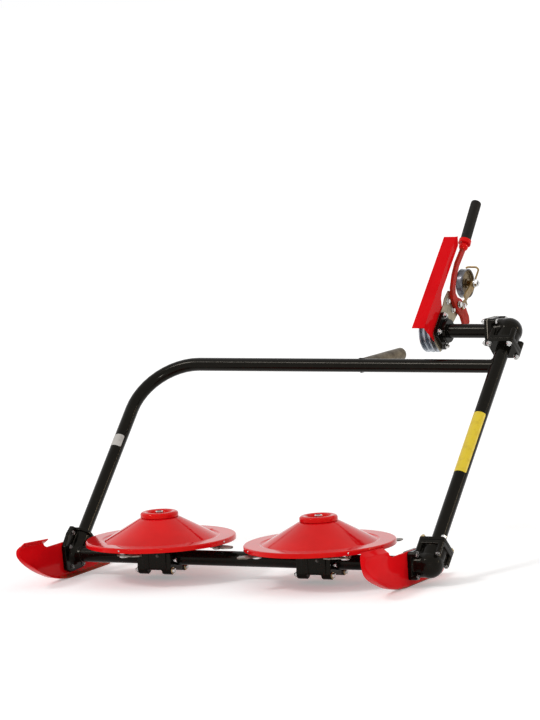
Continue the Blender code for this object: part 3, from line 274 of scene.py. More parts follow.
DISC_STEPS = 144
DISC_TOP_LINE = rounded(
    (
        (0.0150, 0.1130), (0.0520, 0.1130), (0.1570, 0.0535), (0.1615, 0.0542),
        (0.1650, 0.0560), (0.2100, 0.0560), (0.2100, 0.0425),
    ),
    (0, 0.008, 0.005, 0.003, 0.003, 0.006, 0),
)
DISC_UNDER_LINE = rounded(
    (
        (0.2070, 0.0425), (0.2070, 0.0530), (0.1660, 0.0530), (0.1580, 0.0505),
        (0.0510, 0.1100), (0.0150, 0.1100),
    ),
    (0, 0.003, 0.003, 0.005, 0.008, 0),
)
DIMPLE_STEPS = 28
DIMPLE_PLACE = 0.1665
DIMPLE_LINE = (
    (0, 0.0553), (0.0040, 0.0554), (0.0052, 0.0560), (0.0062, 0.0565), (0.0072, 0.0562),
    (0.0082, 0.0550),
)
DIMPLE_ANGLES = {"left": (241.0, 327.0, 61.0, 147.0), "right": (263.0, 338.0, 83.0, 158.0)}

for side, place in disc_places.items():
    work = bmesh.new()
    turned(work, DISC_TOP_LINE + DISC_UNDER_LINE, DISC_STEPS, closed=True)
    for angle in DIMPLE_ANGLES[side]:
        spot = Matrix.Rotation(radians(angle), 4, "Z") @ Matrix.Translation((DIMPLE_PLACE, 0, 0))
        turned(work, DIMPLE_LINE, DIMPLE_STEPS, spot)
    name = "disc_" + side
    solid(name + "_pressing", work, red_enamel, name, place, [name], "red_paint", sharp=50)

# Each blade hangs from a plated steel stud: a collar holds it a few millimetres under the rim, a
# domed head keeps it on, and the small end of a locking pin shows on the rim's turned edge.
BRIGHT = (0.74, 0.74, 0.74, 1.0)
BRIGHT_DULL = (0.40, 0.39, 0.37, 1.0)


def metal(name, light, dark, roughness, grain, stains_at=38.0):
    """A bare or plated metal, streaked along one direction and stained in patches."""

    def recipe(place):
        stains = place.noise(stains_at, 6.0, 0.65).between(0.40, 0.66)
        streaks = place.stretched(grain).noise(1.0, 3.0, 0.6)
        return {
            "Base Color": stains.mix(light, dark),
            "Roughness": roughness + 0.12 * stains + 0.12 * streaks,
            "Normal": relief(place, streaks, 0.0002, 0.35),
        }

    return finish(name, recipe, {"Metallic": 1.0})


bright_zinc = metal("bright_zinc", BRIGHT, BRIGHT_DULL, 0.10, (300.0, 300.0, 300.0))

BLADE_COUNT = 4
SMALL_STEPS = 32
STUD_PLACE = 0.185
STUD_ANGLES = {"left": -4.0, "right": 49.0}
STUD_COLLAR_LINE = rounded(
    ((0, 0.0526), (0.0120, 0.0526), (0.0120, 0.0378), (0.0070, 0.0378), (0.0070, 0.0320)),
    (0, 0.001, 0.001, 0, 0),
)
STUD_HEAD_LINE = rounded(
    ((0, 0.0330), (0.0130, 0.0330), (0.0130, 0.0305), (0.0100, 0.0276), (0, 0.0270)),
    (0, 0.0006, 0.001, 0.002, 0),
)
PIN_STEPS = 14
PIN_LINE = ((0, 0.0016), (0.0014, 0.0013), (0.0024, 0.0005), (0.0026, -0.0008))
RIM_EDGE = 0.2100
PIN_HEIGHT = 0.0490

for side, place in disc_places.items():
    work = bmesh.new()
    for number in range(BLADE_COUNT):
        angle = STUD_ANGLES[side] + 360.0 / BLADE_COUNT * number
        turn = Matrix.Rotation(radians(angle), 4, "Z")
        spot = turn @ Matrix.Translation((STUD_PLACE, 0, 0))
        turned(work, STUD_COLLAR_LINE, SMALL_STEPS, spot)
        turned(work, STUD_HEAD_LINE, SMALL_STEPS, spot)
        out = turn @ Matrix.Translation((RIM_EDGE, 0, PIN_HEIGHT)) @ Matrix.Rotation(pi / 2, 4, "Y")
        turned(work, PIN_LINE, PIN_STEPS, out)
    name = "disc_" + side
    solid(name + "_studs", work, bright_zinc, name, place, slot="bare_steel", sharp=45)

# The cap is a rolled pressing that hides the top of the spindle, in the disc's red. A plated
# locknut in its dish holds cap, disc and hub, and the spindle's dark end stands in the nut.
CAP_STEPS = 96
CAP_BASE = 0.1133
CAP_DISH = 0.1183
CAP_ROLL = 0.0430
CAP_ROLL_INNER = 0.0130
CAP_ROLL_OUTER = 0.0100
CAP_ROLL_RISE = 0.0100
CAP_ROLL_DROP = 0.0075
CAP_RIM = CAP_ROLL + CAP_ROLL_OUTER
CAP_EASE = 0.0008
CAP_TURNS = [pi / 2 * step / 10 for step in range(1, 11)]
CAP_LINE = [(0, CAP_DISH), (CAP_ROLL - CAP_ROLL_INNER, CAP_DISH)]
for turn in CAP_TURNS:
    high = CAP_DISH + CAP_ROLL_RISE * sin(turn)
    CAP_LINE.append((CAP_ROLL - CAP_ROLL_INNER * cos(turn), high))
for turn in CAP_TURNS:
    high = CAP_BASE + CAP_ROLL_DROP * (1 + cos(turn))
    CAP_LINE.append((CAP_ROLL + CAP_ROLL_OUTER * sin(turn), high))
CAP_LINE += [(CAP_RIM, CAP_BASE + CAP_EASE), (CAP_RIM - CAP_EASE, CAP_BASE), (0, CAP_BASE)]
NUT_STEPS = 6
SHAFT_STEPS = 24
CAP_WASHER_LINE = ((0, 0.1200), (0.0155, 0.1200), (0.0160, 0.1195), (0.0160, 0.1180))
CAP_NUT_LINE = ((0.0064, 0.1284), (0.0104, 0.1284), (0.0120, 0.1275), (0.0120, 0.1198))
SPINDLE_END_LINE = ((0, 0.1296), (0.0054, 0.1296), (0.0064, 0.1286), (0.0064, 0.1200))
DARK_METAL = (0.10, 0.095, 0.09, 1.0)
DARK_METAL_STAINED = (0.05, 0.045, 0.04, 1.0)
dark_steel = metal("dark_steel", DARK_METAL, DARK_METAL_STAINED, 0.35, (200.0, 200.0, 200.0))
CRISP = 25.0


def crisp(name, work, material, body="frame", place=Matrix(), slot="zinc_plate"):
    """A nut, screw or other small piece whose corners stay crisp."""
    solid(name, work, material, body, place, slot=slot, sharp=CRISP)


for side, place in disc_places.items():
    body = "disc_" + side
    node = "disc_cap_" + side
    work = bmesh.new()
    turned(work, CAP_LINE, CAP_STEPS)
    solid(node + "_pressing", work, red_enamel, body, place, [node], "red_paint")
    work = bmesh.new()
    turned(work, CAP_WASHER_LINE, SMALL_STEPS)
    turned(work, CAP_NUT_LINE, NUT_STEPS)
    crisp(node + "_nut", work, bright_zinc, body, place)
    work = bmesh.new()
    turned(work, SPINDLE_END_LINE, SHAFT_STEPS)
    crisp(node + "_spindle_end", work, dark_steel, body, place, "bare_steel")

# The hub under each disc is turned from bar on the spindle that enters the gearbox: a flange that
# the disc sits on, and a neck below it. It is bare, with fine rings left by the tool.
ALUMINIUM = (0.46, 0.49, 0.53, 1.0)
ALUMINIUM_DULL = (0.24, 0.26, 0.29, 1.0)


def tool_marks(place):
    """Fine rings round the piece's own Z axis, over light stains."""
    far = (place.part("X") ** 2.0 + place.part("Y") ** 2.0) ** 0.5
    along = place.part("Z")
    spread = place.node("ShaderNodeCombineXYZ", None, {"X": far, "Y": along, "Z": 0.0})
    rings = spread.noise(700.0, 2.0, 0.6)
    stains = place.noise(45.0, 5.0, 0.6).between(0.42, 0.68)
    return {
        "Base Color": (0.8 * stains + 0.2 * rings).mix(ALUMINIUM, ALUMINIUM_DULL),
        "Roughness": 0.30 + 0.12 * stains + 0.04 * rings,
        "Normal": relief(place, rings, 0.0002, 0.05),
    }


turned_metal = finish("turned_metal", tool_marks, {"Metallic": 1.0})

HUB_STEPS = 64
HUB_LINE = rounded(
    (
        (0, 0.1097), (0.0460, 0.1097), (0.0460, 0.0977), (0.0260, 0.0977), (0.0260, 0.0757),
        (0.0150, 0.0757), (0.0150, 0.0420), (0, 0.0420),
    ),
    (0, 0.001, 0.001, 0.003, 0.001, 0.001, 0.001, 0),
    steps=3,
)
for side, place in disc_places.items():
    work = bmesh.new()
    turned(work, HUB_LINE, HUB_STEPS)
    node = "disc_hub_" + side
    body = "disc_" + side
    solid(node + "_turning", work, turned_metal, body, place, [node], "bare_steel", own_axes=True)

# The blades are cut from 4 mm spring steel and swing freely on the studs. They are bare, with
# grinding marks along them and a brown bloom from storage.
STEEL = (0.22, 0.19, 0.165, 1.0)
STEEL_STAINED = (0.075, 0.052, 0.036, 1.0)
blade_steel = metal("blade_steel", STEEL, STEEL_STAINED, 0.26, (90.0, 500.0, 90.0), 60.0)
BLADE_EDGE = 0.0006
COPY_WELD = 0.00002
COPY_FLAT = radians(0.8)
BEVEL_MARGIN = 5.0


def copied(name, node):
    """A clean mesh of a node: corners welded, flat faces whole, shading forgotten."""
    work = bmesh.new()
    work.from_mesh(nodes[node].data)
    bmesh.ops.remove_doubles(work, verts=work.verts, dist=COPY_WELD)
    bmesh.ops.dissolve_limit(work, angle_limit=COPY_FLAT, verts=work.verts, edges=work.edges)
    work.verts.index_update()
    corners = [vertex.co[:] for vertex in work.verts]
    faces = [[vertex.index for vertex in face.verts] for face in work.faces]
    work.free()
    mesh = bpy.data.meshes.new(name)
    mesh.from_pydata(corners, [], faces)
    return mesh


def soften(piece, width, sharp, segments=2):
    """Round off the edges that are sharper than an angle in degrees."""
    soft = piece.modifiers.new("edges", "BEVEL")
    soft.width = width
    soft.segments = segments
    soft.limit_method = "ANGLE"
    soft.angle_limit = radians(sharp)
    soft.use_clamp_overlap = True
    soft.harden_normals = True


def skin(name, node, material, body, edge, sharp=35.0, segments=2):
    """A node's own shape with its hard edges rounded off by a small width."""
    mesh = copied(name, node)
    shade(mesh, sharp)
    mesh.materials.append(material)
    piece = bpy.data.objects.new(name, mesh)
    soften(piece, edge, sharp + BEVEL_MARGIN, segments)
    return dress(piece, body, [node])


for side in disc_places:
    for number in range(1, BLADE_COUNT + 1):
        node = "blade_%s_%d" % (side, number)
        skin(node + "_forging", node, blade_steel, node, BLADE_EDGE)

# The cutter bar is a thick-walled tube that holds the shaft between the gearboxes, with a square
# flange at its inner end. It wears black enamel, brushed on thickly enough to shine.
BLACK = (0.0028, 0.0025, 0.0020, 1.0)
BLACK_WORN = (0.011, 0.008, 0.005, 1.0)
BLACK_GLOSS = {"Specular IOR Level": 0.12, "Specular Tint": (1.0, 0.92, 0.78, 1.0)}
TUBE_EDGE = 0.0008


def brushed_black(place):
    """Thick black enamel, uneven from the brush, with fine scratches."""
    clouds = place.noise(14.0, 5.0, 0.6)
    dust = place.noise(80.0, 6.0, 0.7).between(0.52, 0.78)
    scratches = place.stretched((20.0, 240.0, 240.0)).noise(1.0, 2.0).between(0.72, 0.75)
    return {
        "Base Color": (dust * 0.6).mix(BLACK, BLACK_WORN),
        "Roughness": 0.16 + 0.10 * dust + 0.16 * scratches,
        "Normal": relief(place, clouds, 0.0008, 0.22),
    }


black_enamel = finish("black_enamel", brushed_black, BLACK_GLOSS)
skin("cutter_bar_tube", "cutter_bar", black_enamel, "frame", TUBE_EDGE)

# Castings: the two disc gearboxes, the two bevel gear housings and the joint at the outer end of
# the bar. They are sand-cast and painted black, so their edges are soft and the grain of the sand
# shows through the coat.


def sand_cast_black(place):
    """Black enamel over the lumps and the grain of a sand casting."""
    grain = place.noise(420.0, 5.0, 0.6)
    lumps = place.noise(60.0, 4.0, 0.6)
    dust = place.noise(90.0, 6.0, 0.7).between(0.50, 0.76)
    return {
        "Base Color": (dust * 0.7).mix(BLACK, BLACK_WORN),
        "Roughness": 0.12 + 0.12 * dust,
        "Normal": relief(place, grain * 0.25 + lumps, 0.0010, 0.40),
    }


black_cast = finish("black_cast", sand_cast_black, BLACK_GLOSS)
CAST_VOXEL = 0.0013
CAST_PASSES = 5
CAST_PULL = 0.5
CAST_SHARE = 0.30


def cast(name, node):
    """A casting with soft edges, grown over a node's own shape."""
    mesh = copied(name + "_core", node)
    core = bpy.data.objects.new(name + "_core", mesh)
    pieces.link(core)
    grown = core.modifiers.new("grown", "REMESH")
    grown.mode = "VOXEL"
    grown.voxel_size = CAST_VOXEL
    soft = core.modifiers.new("soft", "SMOOTH")
    soft.factor = CAST_PULL
    soft.iterations = CAST_PASSES
    fewer = core.modifiers.new("fewer", "DECIMATE")
    fewer.ratio = CAST_SHARE
    graph = bpy.context.evaluated_depsgraph_get()
    made = bpy.data.meshes.new_from_object(core.evaluated_get(graph))
    bpy.data.objects.remove(core)
    bpy.data.meshes.remove(mesh)
    made.name = name
    made.shade_smooth()
    made.materials.clear()
    made.materials.append(black_cast)
    return dress(bpy.data.objects.new(name, made), "frame", [node])


for node in ("gearbox_left", "gearbox_right", "lower_elbow", "upper_elbow", "end_casting"):
    cast(node + "_casting", node)

# Bolts: plated hexagon screws with washers hold the gearbox halves, the housings' flanges, the
# input flange and the lever bracket. Each is given by its seat, the way it points and its size: the
# head's radius and height, its washer's radius and how far the screw's end stands out.
ALONG_X = Matrix.Rotation(pi / 2, 4, "Y")
ALONG_MINUS_X = Matrix.Rotation(-pi / 2, 4, "Y")
ALONG_MINUS_Y = Matrix.Rotation(pi / 2, 4, "X")
ALONG_Z = Matrix()
ALONG_MINUS_Z = Matrix.Rotation(pi, 4, "X")
HEAD_FLAT = 0.80
HEAD_CHAMFER = 0.12
WASHER_STEPS = 28
WASHER_EASE = 0.3
WASHER_SHARE = 0.2
SCREW_STEPS = 16
SCREW_SHARE = 0.52
THREAD_PITCH = 0.00125
THREAD_ROOT = 0.84


def hexagon(work, place, radius, height, start=0.0):
    """A hexagon head or nut with its corners turned off."""
    shape = (
        (0, start + height), (radius * HEAD_FLAT, start + height),
        (radius, start + height - radius * HEAD_CHAMFER), (radius, start), (0, start),
    )
    turned(work, shape, NUT_STEPS, place)


def washer(work, place, radius, height):
    """A flat washer with eased edges."""
    ease = height * WASHER_EASE
    shape = (
        (0, height), (radius - ease, height), (radius, height - ease), (radius, ease),
        (radius - ease, 0), (0, 0),
    )
    turned(work, shape, WASHER_STEPS, place)


def screw_end(work, place, radius, length):
    """The end of a screw that stands out of its nut, with its thread."""
    root = radius * THREAD_ROOT
    shape = [(0, length)]
    count = max(int(length / THREAD_PITCH), 1)
    for turn in range(count):
        high = length - turn * THREAD_PITCH
        shape += [(root, high), (radius, high - THREAD_PITCH / 2)]
    shape.append((root, length - count * THREAD_PITCH))
    turned(work, shape, SCREW_STEPS, place)


def bolt(work, place, radius, height, washer_radius=0.0, end=0.0):
    """A screw head or nut on its washer, with the screw's end beyond it."""
    start = 0.0
    if washer_radius:
        start = radius * WASHER_SHARE
        washer(work, place, washer_radius, start)
    hexagon(work, place, radius, height, start)
    if end:
        far = place @ Matrix.Translation((0, 0, start + height))
        screw_end(work, far, radius * SCREW_SHARE, end)


def at(frame_place, spot, way, turn=0.0):
    """A seat in a frame: its spot, the way out of it and the hexagon's own turn."""
    return frame_place @ Matrix.Translation(spot) @ way @ Matrix.Rotation(radians(turn), 4, "Z")


LUG_FACE = 0.0530
LUG_SPOTS = ((-0.0370, -0.0315), (0.0370, -0.0325))
LUG_WASHER = (0.0095, 0.0022)
LUG_HEAD = (0.0072, 0.0060)
LUG_NUT = (0.0080, 0.0068, 0.0, 0.0040)
CLAMP_SPOT = (-0.0330, -0.0030)
CLAMP_BOSS = (0.0042, 0.0090)
CLAMP_HEAD = (0.0062, 0.0045)
YELLOW_ZINC = (0.58, 0.47, 0.27, 1.0)
YELLOW_STAINED = (0.32, 0.23, 0.11, 1.0)
yellow_zinc = metal("yellow_zinc", YELLOW_ZINC, YELLOW_STAINED, 0.22, (90.0, 400.0, 90.0))
for side, place in disc_places.items():
    work = bmesh.new()
    for y, z in LUG_SPOTS:
        washer(work, at(place, (LUG_FACE, y, z), ALONG_X), *LUG_WASHER)
    crisp("gearbox_%s_washers" % side, work, yellow_zinc)
    work = bmesh.new()
    for number, (y, z) in enumerate(LUG_SPOTS):
        seat = at(place, (LUG_FACE, y, z), ALONG_X, turn=11 * number)
        hexagon(work, seat, *LUG_HEAD, start=LUG_WASHER[1])
        bolt(work, at(place, (-LUG_FACE, y, z), ALONG_MINUS_X, turn=17), *LUG_NUT)
    seat = at(place, (LUG_FACE, *CLAMP_SPOT), ALONG_X, turn=5)
    washer(work, seat, *CLAMP_BOSS)
    hexagon(work, seat, *CLAMP_HEAD, start=CLAMP_BOSS[1])
    crisp("gearbox_%s_bolts" % side, work, bright_zinc)

# Each gearbox has a cast rib and a raised pad down its front, under the same black enamel, and a
# small dark grease plug on its washer beside them.
GEARBOX_FRONT = -0.0480
RIBS = ((-0.0175, 0.0030, -0.0280, 0.0210), (0.0330, 0.0065, -0.0270, 0.0225))
RIB_DEPTH = 0.0050
RIB_SINK = 0.0008
RIB_EASE = 0.0015
PLUG_SPOT = (0.0135, GEARBOX_FRONT, 0.0100)
PLUG = (0.0040, 0.0030, 0.0050)


def rib(work, place, middle, half, low, high):
    """A rounded upright rib on a face whose way out is -Y."""
    shape = Matrix.Translation((middle, GEARBOX_FRONT + RIB_SINK, (low + high) / 2))
    shape = place @ shape @ Matrix.Diagonal((2 * half, RIB_DEPTH, high - low, 1.0))
    made = bmesh.ops.create_cube(work, size=1.0, matrix=shape)
    edges = list({edge for corner in made["verts"] for edge in corner.link_edges})
    bmesh.ops.bevel(work, geom=edges, offset=RIB_EASE, segments=3, affect="EDGES", profile=0.5)


for side, place in disc_places.items():
    work = bmesh.new()
    for middle, half, low, high in RIBS:
        rib(work, place, middle, half, low, high)
    solid("gearbox_%s_ribs" % side, work, black_cast, "frame", slot="black_paint")
    work = bmesh.new()
    bolt(work, at(place, PLUG_SPOT, ALONG_MINUS_Y), *PLUG)
    crisp("gearbox_%s_plug" % side, work, dark_steel)

# Small screws hold the outer shoe to the plate of the end casting. They were in place when it was
# painted, so they are black, with bright chips that are also painted highlights.
CHIP_AND_HIGHLIGHT = (0.34, 0.33, 0.32, 1.0)


def chipped_black_with_highlights(place):
    """Black enamel, chipped to the bright metal in small spots that also paint highlights."""
    # Small bright spots: chips, and painted highlights on the heads.
    chips_and_highlights = place.noise(420.0, 3.0, 0.6).between(0.50, 0.56)
    return {
        "Base Color": chips_and_highlights.mix(BLACK_WORN, CHIP_AND_HIGHLIGHT),
        "Roughness": 0.22 + 0.12 * chips_and_highlights,
        "Normal": relief(place, place.noise(300.0), 0.0004, 0.3),
    }


chipped_enamel_with_highlights = finish("chipped_enamel_with_highlights", chipped_black_with_highlights, {"Specular IOR Level": 0.6})
END_FACE = -0.5330
END_SPOTS = (
    (-0.0020, 0.0600), (-0.0185, 0.0230), (0.0430, 0.0225), (-0.0160, -0.0340),
    (0.0440, -0.0340),
)
END_SCREW = (0.0052, 0.0040, 0.0070)
work = bmesh.new()
for number, (y, z) in enumerate(END_SPOTS):
    bolt(work, at(deck, (END_FACE, y, z), ALONG_X, turn=13 * number), *END_SCREW)
crisp("end_casting_screws", work, chipped_enamel_with_highlights, slot="black_paint")

# Housing bolts: four along the tube through each pair of square flanges, and four along X at the
# side. Those of the upper housing are bright. On the lower one three along the tube are yellow and
# one is bright, and the heads at its sides and below are painted over.
DRIVE_X = 0.5830
ELBOW_FACE = 0.5343
ELBOW_SIDE = 0.0250
ELBOW_SOLE = 0.0170
CORNER = 0.0305
CORNERS = [(first, second) for first in (-CORNER, CORNER) for second in (-CORNER, CORNER)]
AGED_CORNERS = ((-CORNER, -CORNER), (-CORNER, CORNER), (CORNER, CORNER))
FLANGE_LOW = 0.0653
STUB_FLANGE = 0.5250
TUBE_BOLT = (0.0075, 0.0060, 0.0084, 0.0040)
STUB_BOLT = (0.0075, 0.0060, 0.0088, 0.0030)
AGED_BOLT = (0.0072, 0.0060, 0.0084, 0.0030)
NEWER_BOLT = (0.0076, 0.0064, 0.0084, 0.0030)
SIDE_HEAD = (0.0072, 0.0046)
SOLE_HEAD = (0.0070, 0.0046)
work = bmesh.new()
for x, y in CORNERS:
    seat = at(leaning, (DRIVE_X + x, y, INPUT_RISE - FLANGE_LOW), ALONG_MINUS_Z, turn=20)
    bolt(work, seat, *TUBE_BOLT)
crisp("upper_tube_bolts", work, bright_zinc)

level_top = leaning @ Matrix.Translation((0, 0, INPUT_RISE)) @ Matrix.Rotation(FRAME_LEAN, 4, "X")
work = bmesh.new()
for y, z in CORNERS:
    bolt(work, at(level_top, (STUB_FLANGE, y, z), ALONG_MINUS_X, turn=12), *STUB_BOLT)
    bolt(work, at(level_top, (ELBOW_FACE + ELBOW_SIDE, y, z), ALONG_X, turn=9), *SIDE_HEAD)
crisp("upper_side_bolts", work, bright_zinc)

work = bmesh.new()
for x, y in AGED_CORNERS:
    bolt(work, at(leaning, (DRIVE_X + x, y, FLANGE_LOW), ALONG_Z, turn=20), *AGED_BOLT)
crisp("lower_tube_bolts", work, yellow_zinc)
work = bmesh.new()
seat = at(leaning, (DRIVE_X + CORNER, -CORNER, FLANGE_LOW), ALONG_Z, turn=4)
bolt(work, seat, *NEWER_BOLT)
crisp("lower_tube_bright_bolt", work, bright_zinc)

work = bmesh.new()
for y, z in CORNERS:
    bolt(work, at(deck, (ELBOW_FACE + ELBOW_SIDE, y, z), ALONG_X, turn=9), *SIDE_HEAD)
    bolt(work, at(leaning, (DRIVE_X + y, z, ELBOW_SOLE), ALONG_MINUS_Z, turn=8), *SOLE_HEAD)
# Painted over, with bright chips that are also painted highlights.
crisp("lower_side_bolts", work, chipped_enamel_with_highlights, slot="black_paint")

# A gasket of light sealing paper shows as a thin edge in the joint at the upper housing's side. It
# is cut square like the flange, with a round hole for the shaft.
PAPER = (0.42, 0.38, 0.31, 1.0)
PAPER_DARK = (0.28, 0.25, 0.20, 1.0)


def sealing_paper(place):
    """Light fibrous paper, darker where it has soaked up oil."""
    fibres = place.noise(300.0, 5.0, 0.7)
    return {
        "Base Color": fibres.mix(PAPER, PAPER_DARK),
        "Roughness": 0.70 + 0.15 * fibres,
        "Normal": relief(place, fibres, 0.0003, 0.3),
    }


gasket_paper = finish("gasket_paper", sealing_paper)
GASKET_HALF = 0.0393
GASKET_CORNER = 0.0088
GASKET_HOLE = 0.0300
GASKET_STEPS = 6
GASKET_SHEET = 0.0016


def gasket(work, place, thickness):
    """A square ring of paper with rounded corners, in the plane across a place's Z axis."""
    outer = []
    inner = []
    reach = GASKET_HALF - GASKET_CORNER
    for quarter in range(4):
        middle = Matrix.Rotation(pi / 2 * quarter, 2) @ Vector((reach, reach))
        for step in range(GASKET_STEPS + 1):
            turn = pi / 2 * (quarter + step / GASKET_STEPS)
            ahead, aside = cos(turn), sin(turn)
            outer.append((middle.x + GASKET_CORNER * ahead, middle.y + GASKET_CORNER * aside))
            inner.append((GASKET_HOLE * ahead, GASKET_HOLE * aside))
    top, sole = thickness / 2, -thickness / 2
    rings = []
    for line, z in ((outer, top), (outer, sole), (inner, sole), (inner, top)):
        rings.append([work.verts.new(place @ Vector((x, y, z))) for x, y in line])
    walls(work, rings, closed=True)


work = bmesh.new()
gasket(work, at(level_top, (ELBOW_FACE, 0, 0), ALONG_X), GASKET_SHEET)
solid("gaskets", work, gasket_paper, "frame", slot="black_paint")

# Tubes: the bent frame tube, the inclined drive tube and the short stub are black like the bar.
# The frame tube is welded to the drive tube and to its foot's plate, and the welds' ripples show
# in the paint.
for node in ("frame_tube", "drive_tube", "stub_tube"):
    skin(node + "_pipe", node, black_enamel, "frame", TUBE_EDGE)

TUBE_RADIUS = 0.0190
DRIVE_RADIUS = 0.0200
RAIL_RISE = 0.675
LEG_X = -0.5300
BEAD_RADIUS = 0.0028
BEAD_PITCH = 0.0028
BEAD_SIDES = 8
BEAD_RIPPLE = 0.14
SADDLE_STEPS = 120
FOOT_STEPS = 90
FOOT_FLAT = -0.0168
FOOT_RISE = 0.0705
FOOT_BEAD = 0.0022


def ring_round(work, point, out, across, radius, sides):
    """A ring of corners round a point, in the plane of two directions."""
    turns = [tau * side / sides for side in range(sides)]
    spots = [point + (out * cos(turn) + across * sin(turn)) * radius for turn in turns]
    return [work.verts.new(spot) for spot in spots]


def bead(work, path, radius=BEAD_RADIUS):
    """A weld bead with its ripples along a closed path."""
    points = [Vector(point) for point in path]
    count = len(points)
    rings = []
    centre = sum(points, Vector()) / count
    walked = 0.0
    for place, point in enumerate(points):
        ahead = points[(place + 1) % count] - points[place - 1]
        ahead.normalize()
        out = point - centre
        out = (out - ahead * out.dot(ahead)).normalized()
        across = ahead.cross(out)
        walked += (point - points[place - 1]).length if place else 0.0
        size = radius * (1 - BEAD_RIPPLE + BEAD_RIPPLE * abs(sin(pi * walked / BEAD_PITCH)))
        rings.append(ring_round(work, point, out, across, size, BEAD_SIDES))
    walls(work, rings, closed=True)


def saddle(radius, wall, sign):
    """Where a tube along +X or -X from the origin meets a tube of another radius along Z."""
    path = []
    for step in range(SADDLE_STEPS):
        turn = tau * step / SADDLE_STEPS
        across = radius * cos(turn)
        depth = sqrt(max(wall * wall - across * across, 0.0))
        path.append((sign * depth, across, radius * sin(turn)))
    return path


work = bmesh.new()
cope = saddle(TUBE_RADIUS, DRIVE_RADIUS, -1)
bead(work, [(x + DRIVE_X, y, z + RAIL_RISE) for x, y, z in cope])
foot = []
for step in range(FOOT_STEPS):
    turn = tau * step / FOOT_STEPS
    aside = max(TUBE_RADIUS * cos(turn), FOOT_FLAT)
    foot.append((LEG_X + aside, TUBE_RADIUS * sin(turn), FOOT_RISE))
bead(work, foot, FOOT_BEAD)
solid("frame_welds", work, black_cast, "frame", leaning, slot="black_paint", sharp=60)

# Stickers: a plain yellow one round the drive tube and a small silver one on the left leg, both
# blank, of thin film with a slight gloss.


def film(name, colour, dark, metallic):
    """Film of one plain colour, grimy in patches and slightly creased."""

    def recipe(place):
        grime = place.noise(60.0, 5.0, 0.65).between(0.50, 0.74)
        creases = place.noise(130.0, 3.0)
        return {
            "Base Color": (grime * 0.7).mix(colour, dark),
            "Roughness": 0.28 + 0.22 * grime,
            "Normal": relief(place, creases, 0.0002, 0.25),
        }

    return finish(name, recipe, {"Metallic": metallic})


YELLOW_FILM = (0.68, 0.50, 0.012, 1.0)
YELLOW_GRIMY = (0.50, 0.34, 0.014, 1.0)
SILVER_FILM = (0.46, 0.44, 0.41, 1.0)
SILVER_GRIMY = (0.26, 0.24, 0.21, 1.0)
yellow_film = film("yellow_film", YELLOW_FILM, YELLOW_GRIMY, 0.0)
silver_film = film("silver_film", SILVER_FILM, SILVER_GRIMY, 0.4)
FILM_LIFT = 0.00015
FILM_THICKNESS = 0.00012
FILM_CORNER = 0.004
FILM_STEPS = 28
STICKERS = (
    ("yellow_sticker", yellow_film, DRIVE_X, DRIVE_RADIUS, 0.301, 0.503, -78.0, 71.0),
    ("silver_sticker", silver_film, LEG_X, TUBE_RADIUS, 0.369, 0.408, -55.0, 62.0),
)


def sticker(name, material, centre_x, radius, low, high, first, last):
    """A film on an upright tube of the leaning frame, between two heights and two headings."""
    inner = radius + FILM_LIFT
    around = radians(last - first) * inner
    work = bmesh.new()
    rims = []
    for lift in (FILM_THICKNESS, 0.0):
        rows = []
        for step in range(FILM_STEPS + 1):
            share = step / FILM_STEPS
            edge = min(share, 1 - share) * around
            cut = 0.0
            if edge < FILM_CORNER:
                cut = FILM_CORNER - sqrt(max(FILM_CORNER**2 - (FILM_CORNER - edge) ** 2, 0.0))
            heading = radians(first + (last - first) * share)
            far = inner + lift
            spot = (centre_x + far * sin(heading), -far * cos(heading))
            rows.append([work.verts.new((*spot, z)) for z in (low + cut, high - cut)])
        for row, after in zip(rows, rows[1:]):
            work.faces.new((row[0], after[0], after[1], row[1]))
        rims.append([row[0] for row in rows] + [row[1] for row in reversed(rows)])
    walls(work, rims)
    solid(name, work, material, "frame", leaning, sharp=40)


for row in STICKERS:
    sticker(*row)

# The hitch spigot is a bare steel tube, browned by handling, that plugs into the tractor. It is
# welded behind the rail, and the black paint ends at the weld.
SPIGOT = (0.155, 0.123, 0.078, 1.0)
SPIGOT_STAINED = (0.062, 0.046, 0.028, 1.0)
spigot_steel = metal("spigot_steel", SPIGOT, SPIGOT_STAINED, 0.34, (40.0, 500.0, 40.0), 26.0)
SPIGOT_EDGE = 0.0012
skin("hitch_spigot_tube", "hitch_spigot", spigot_steel, "frame", SPIGOT_EDGE)
SPIGOT_X = 0.157
SPIGOT_RADIUS = 0.0190
SPIGOT_BEAD = 0.0026
work = bmesh.new()
rail_spot = (SPIGOT_X, RAIL_RISE * sin(FRAME_LEAN), RAIL_RISE * cos(FRAME_LEAN))
rail = deck @ Matrix.Translation(rail_spot)
turn_to_rail = Matrix(((0, 0, 1, 0), (1, 0, 0, 0), (0, 1, 0, 0), (0, 0, 0, 1)))
ring = [turn_to_rail @ Vector(point) for point in saddle(SPIGOT_RADIUS, TUBE_RADIUS, 1)]
bead(work, ring, SPIGOT_BEAD)
solid("spigot_weld", work, black_cast, "frame", rail, slot="black_paint", sharp=60)

# The shoes are pressed from 3 mm sheet, with a rounded nose and a folded lip that slides over the
# ground. The paint is brown along the sole: rubbed primer and a painted floor reflection.
# Brown of rubbed primer, which also paints a reflection of a wooden floor along the sole.
SHOE_WORN_AND_REFLECTED = (0.24, 0.070, 0.035, 1.0)
SOLE_TOP = 0.018
SHOE_EDGE = 0.0007


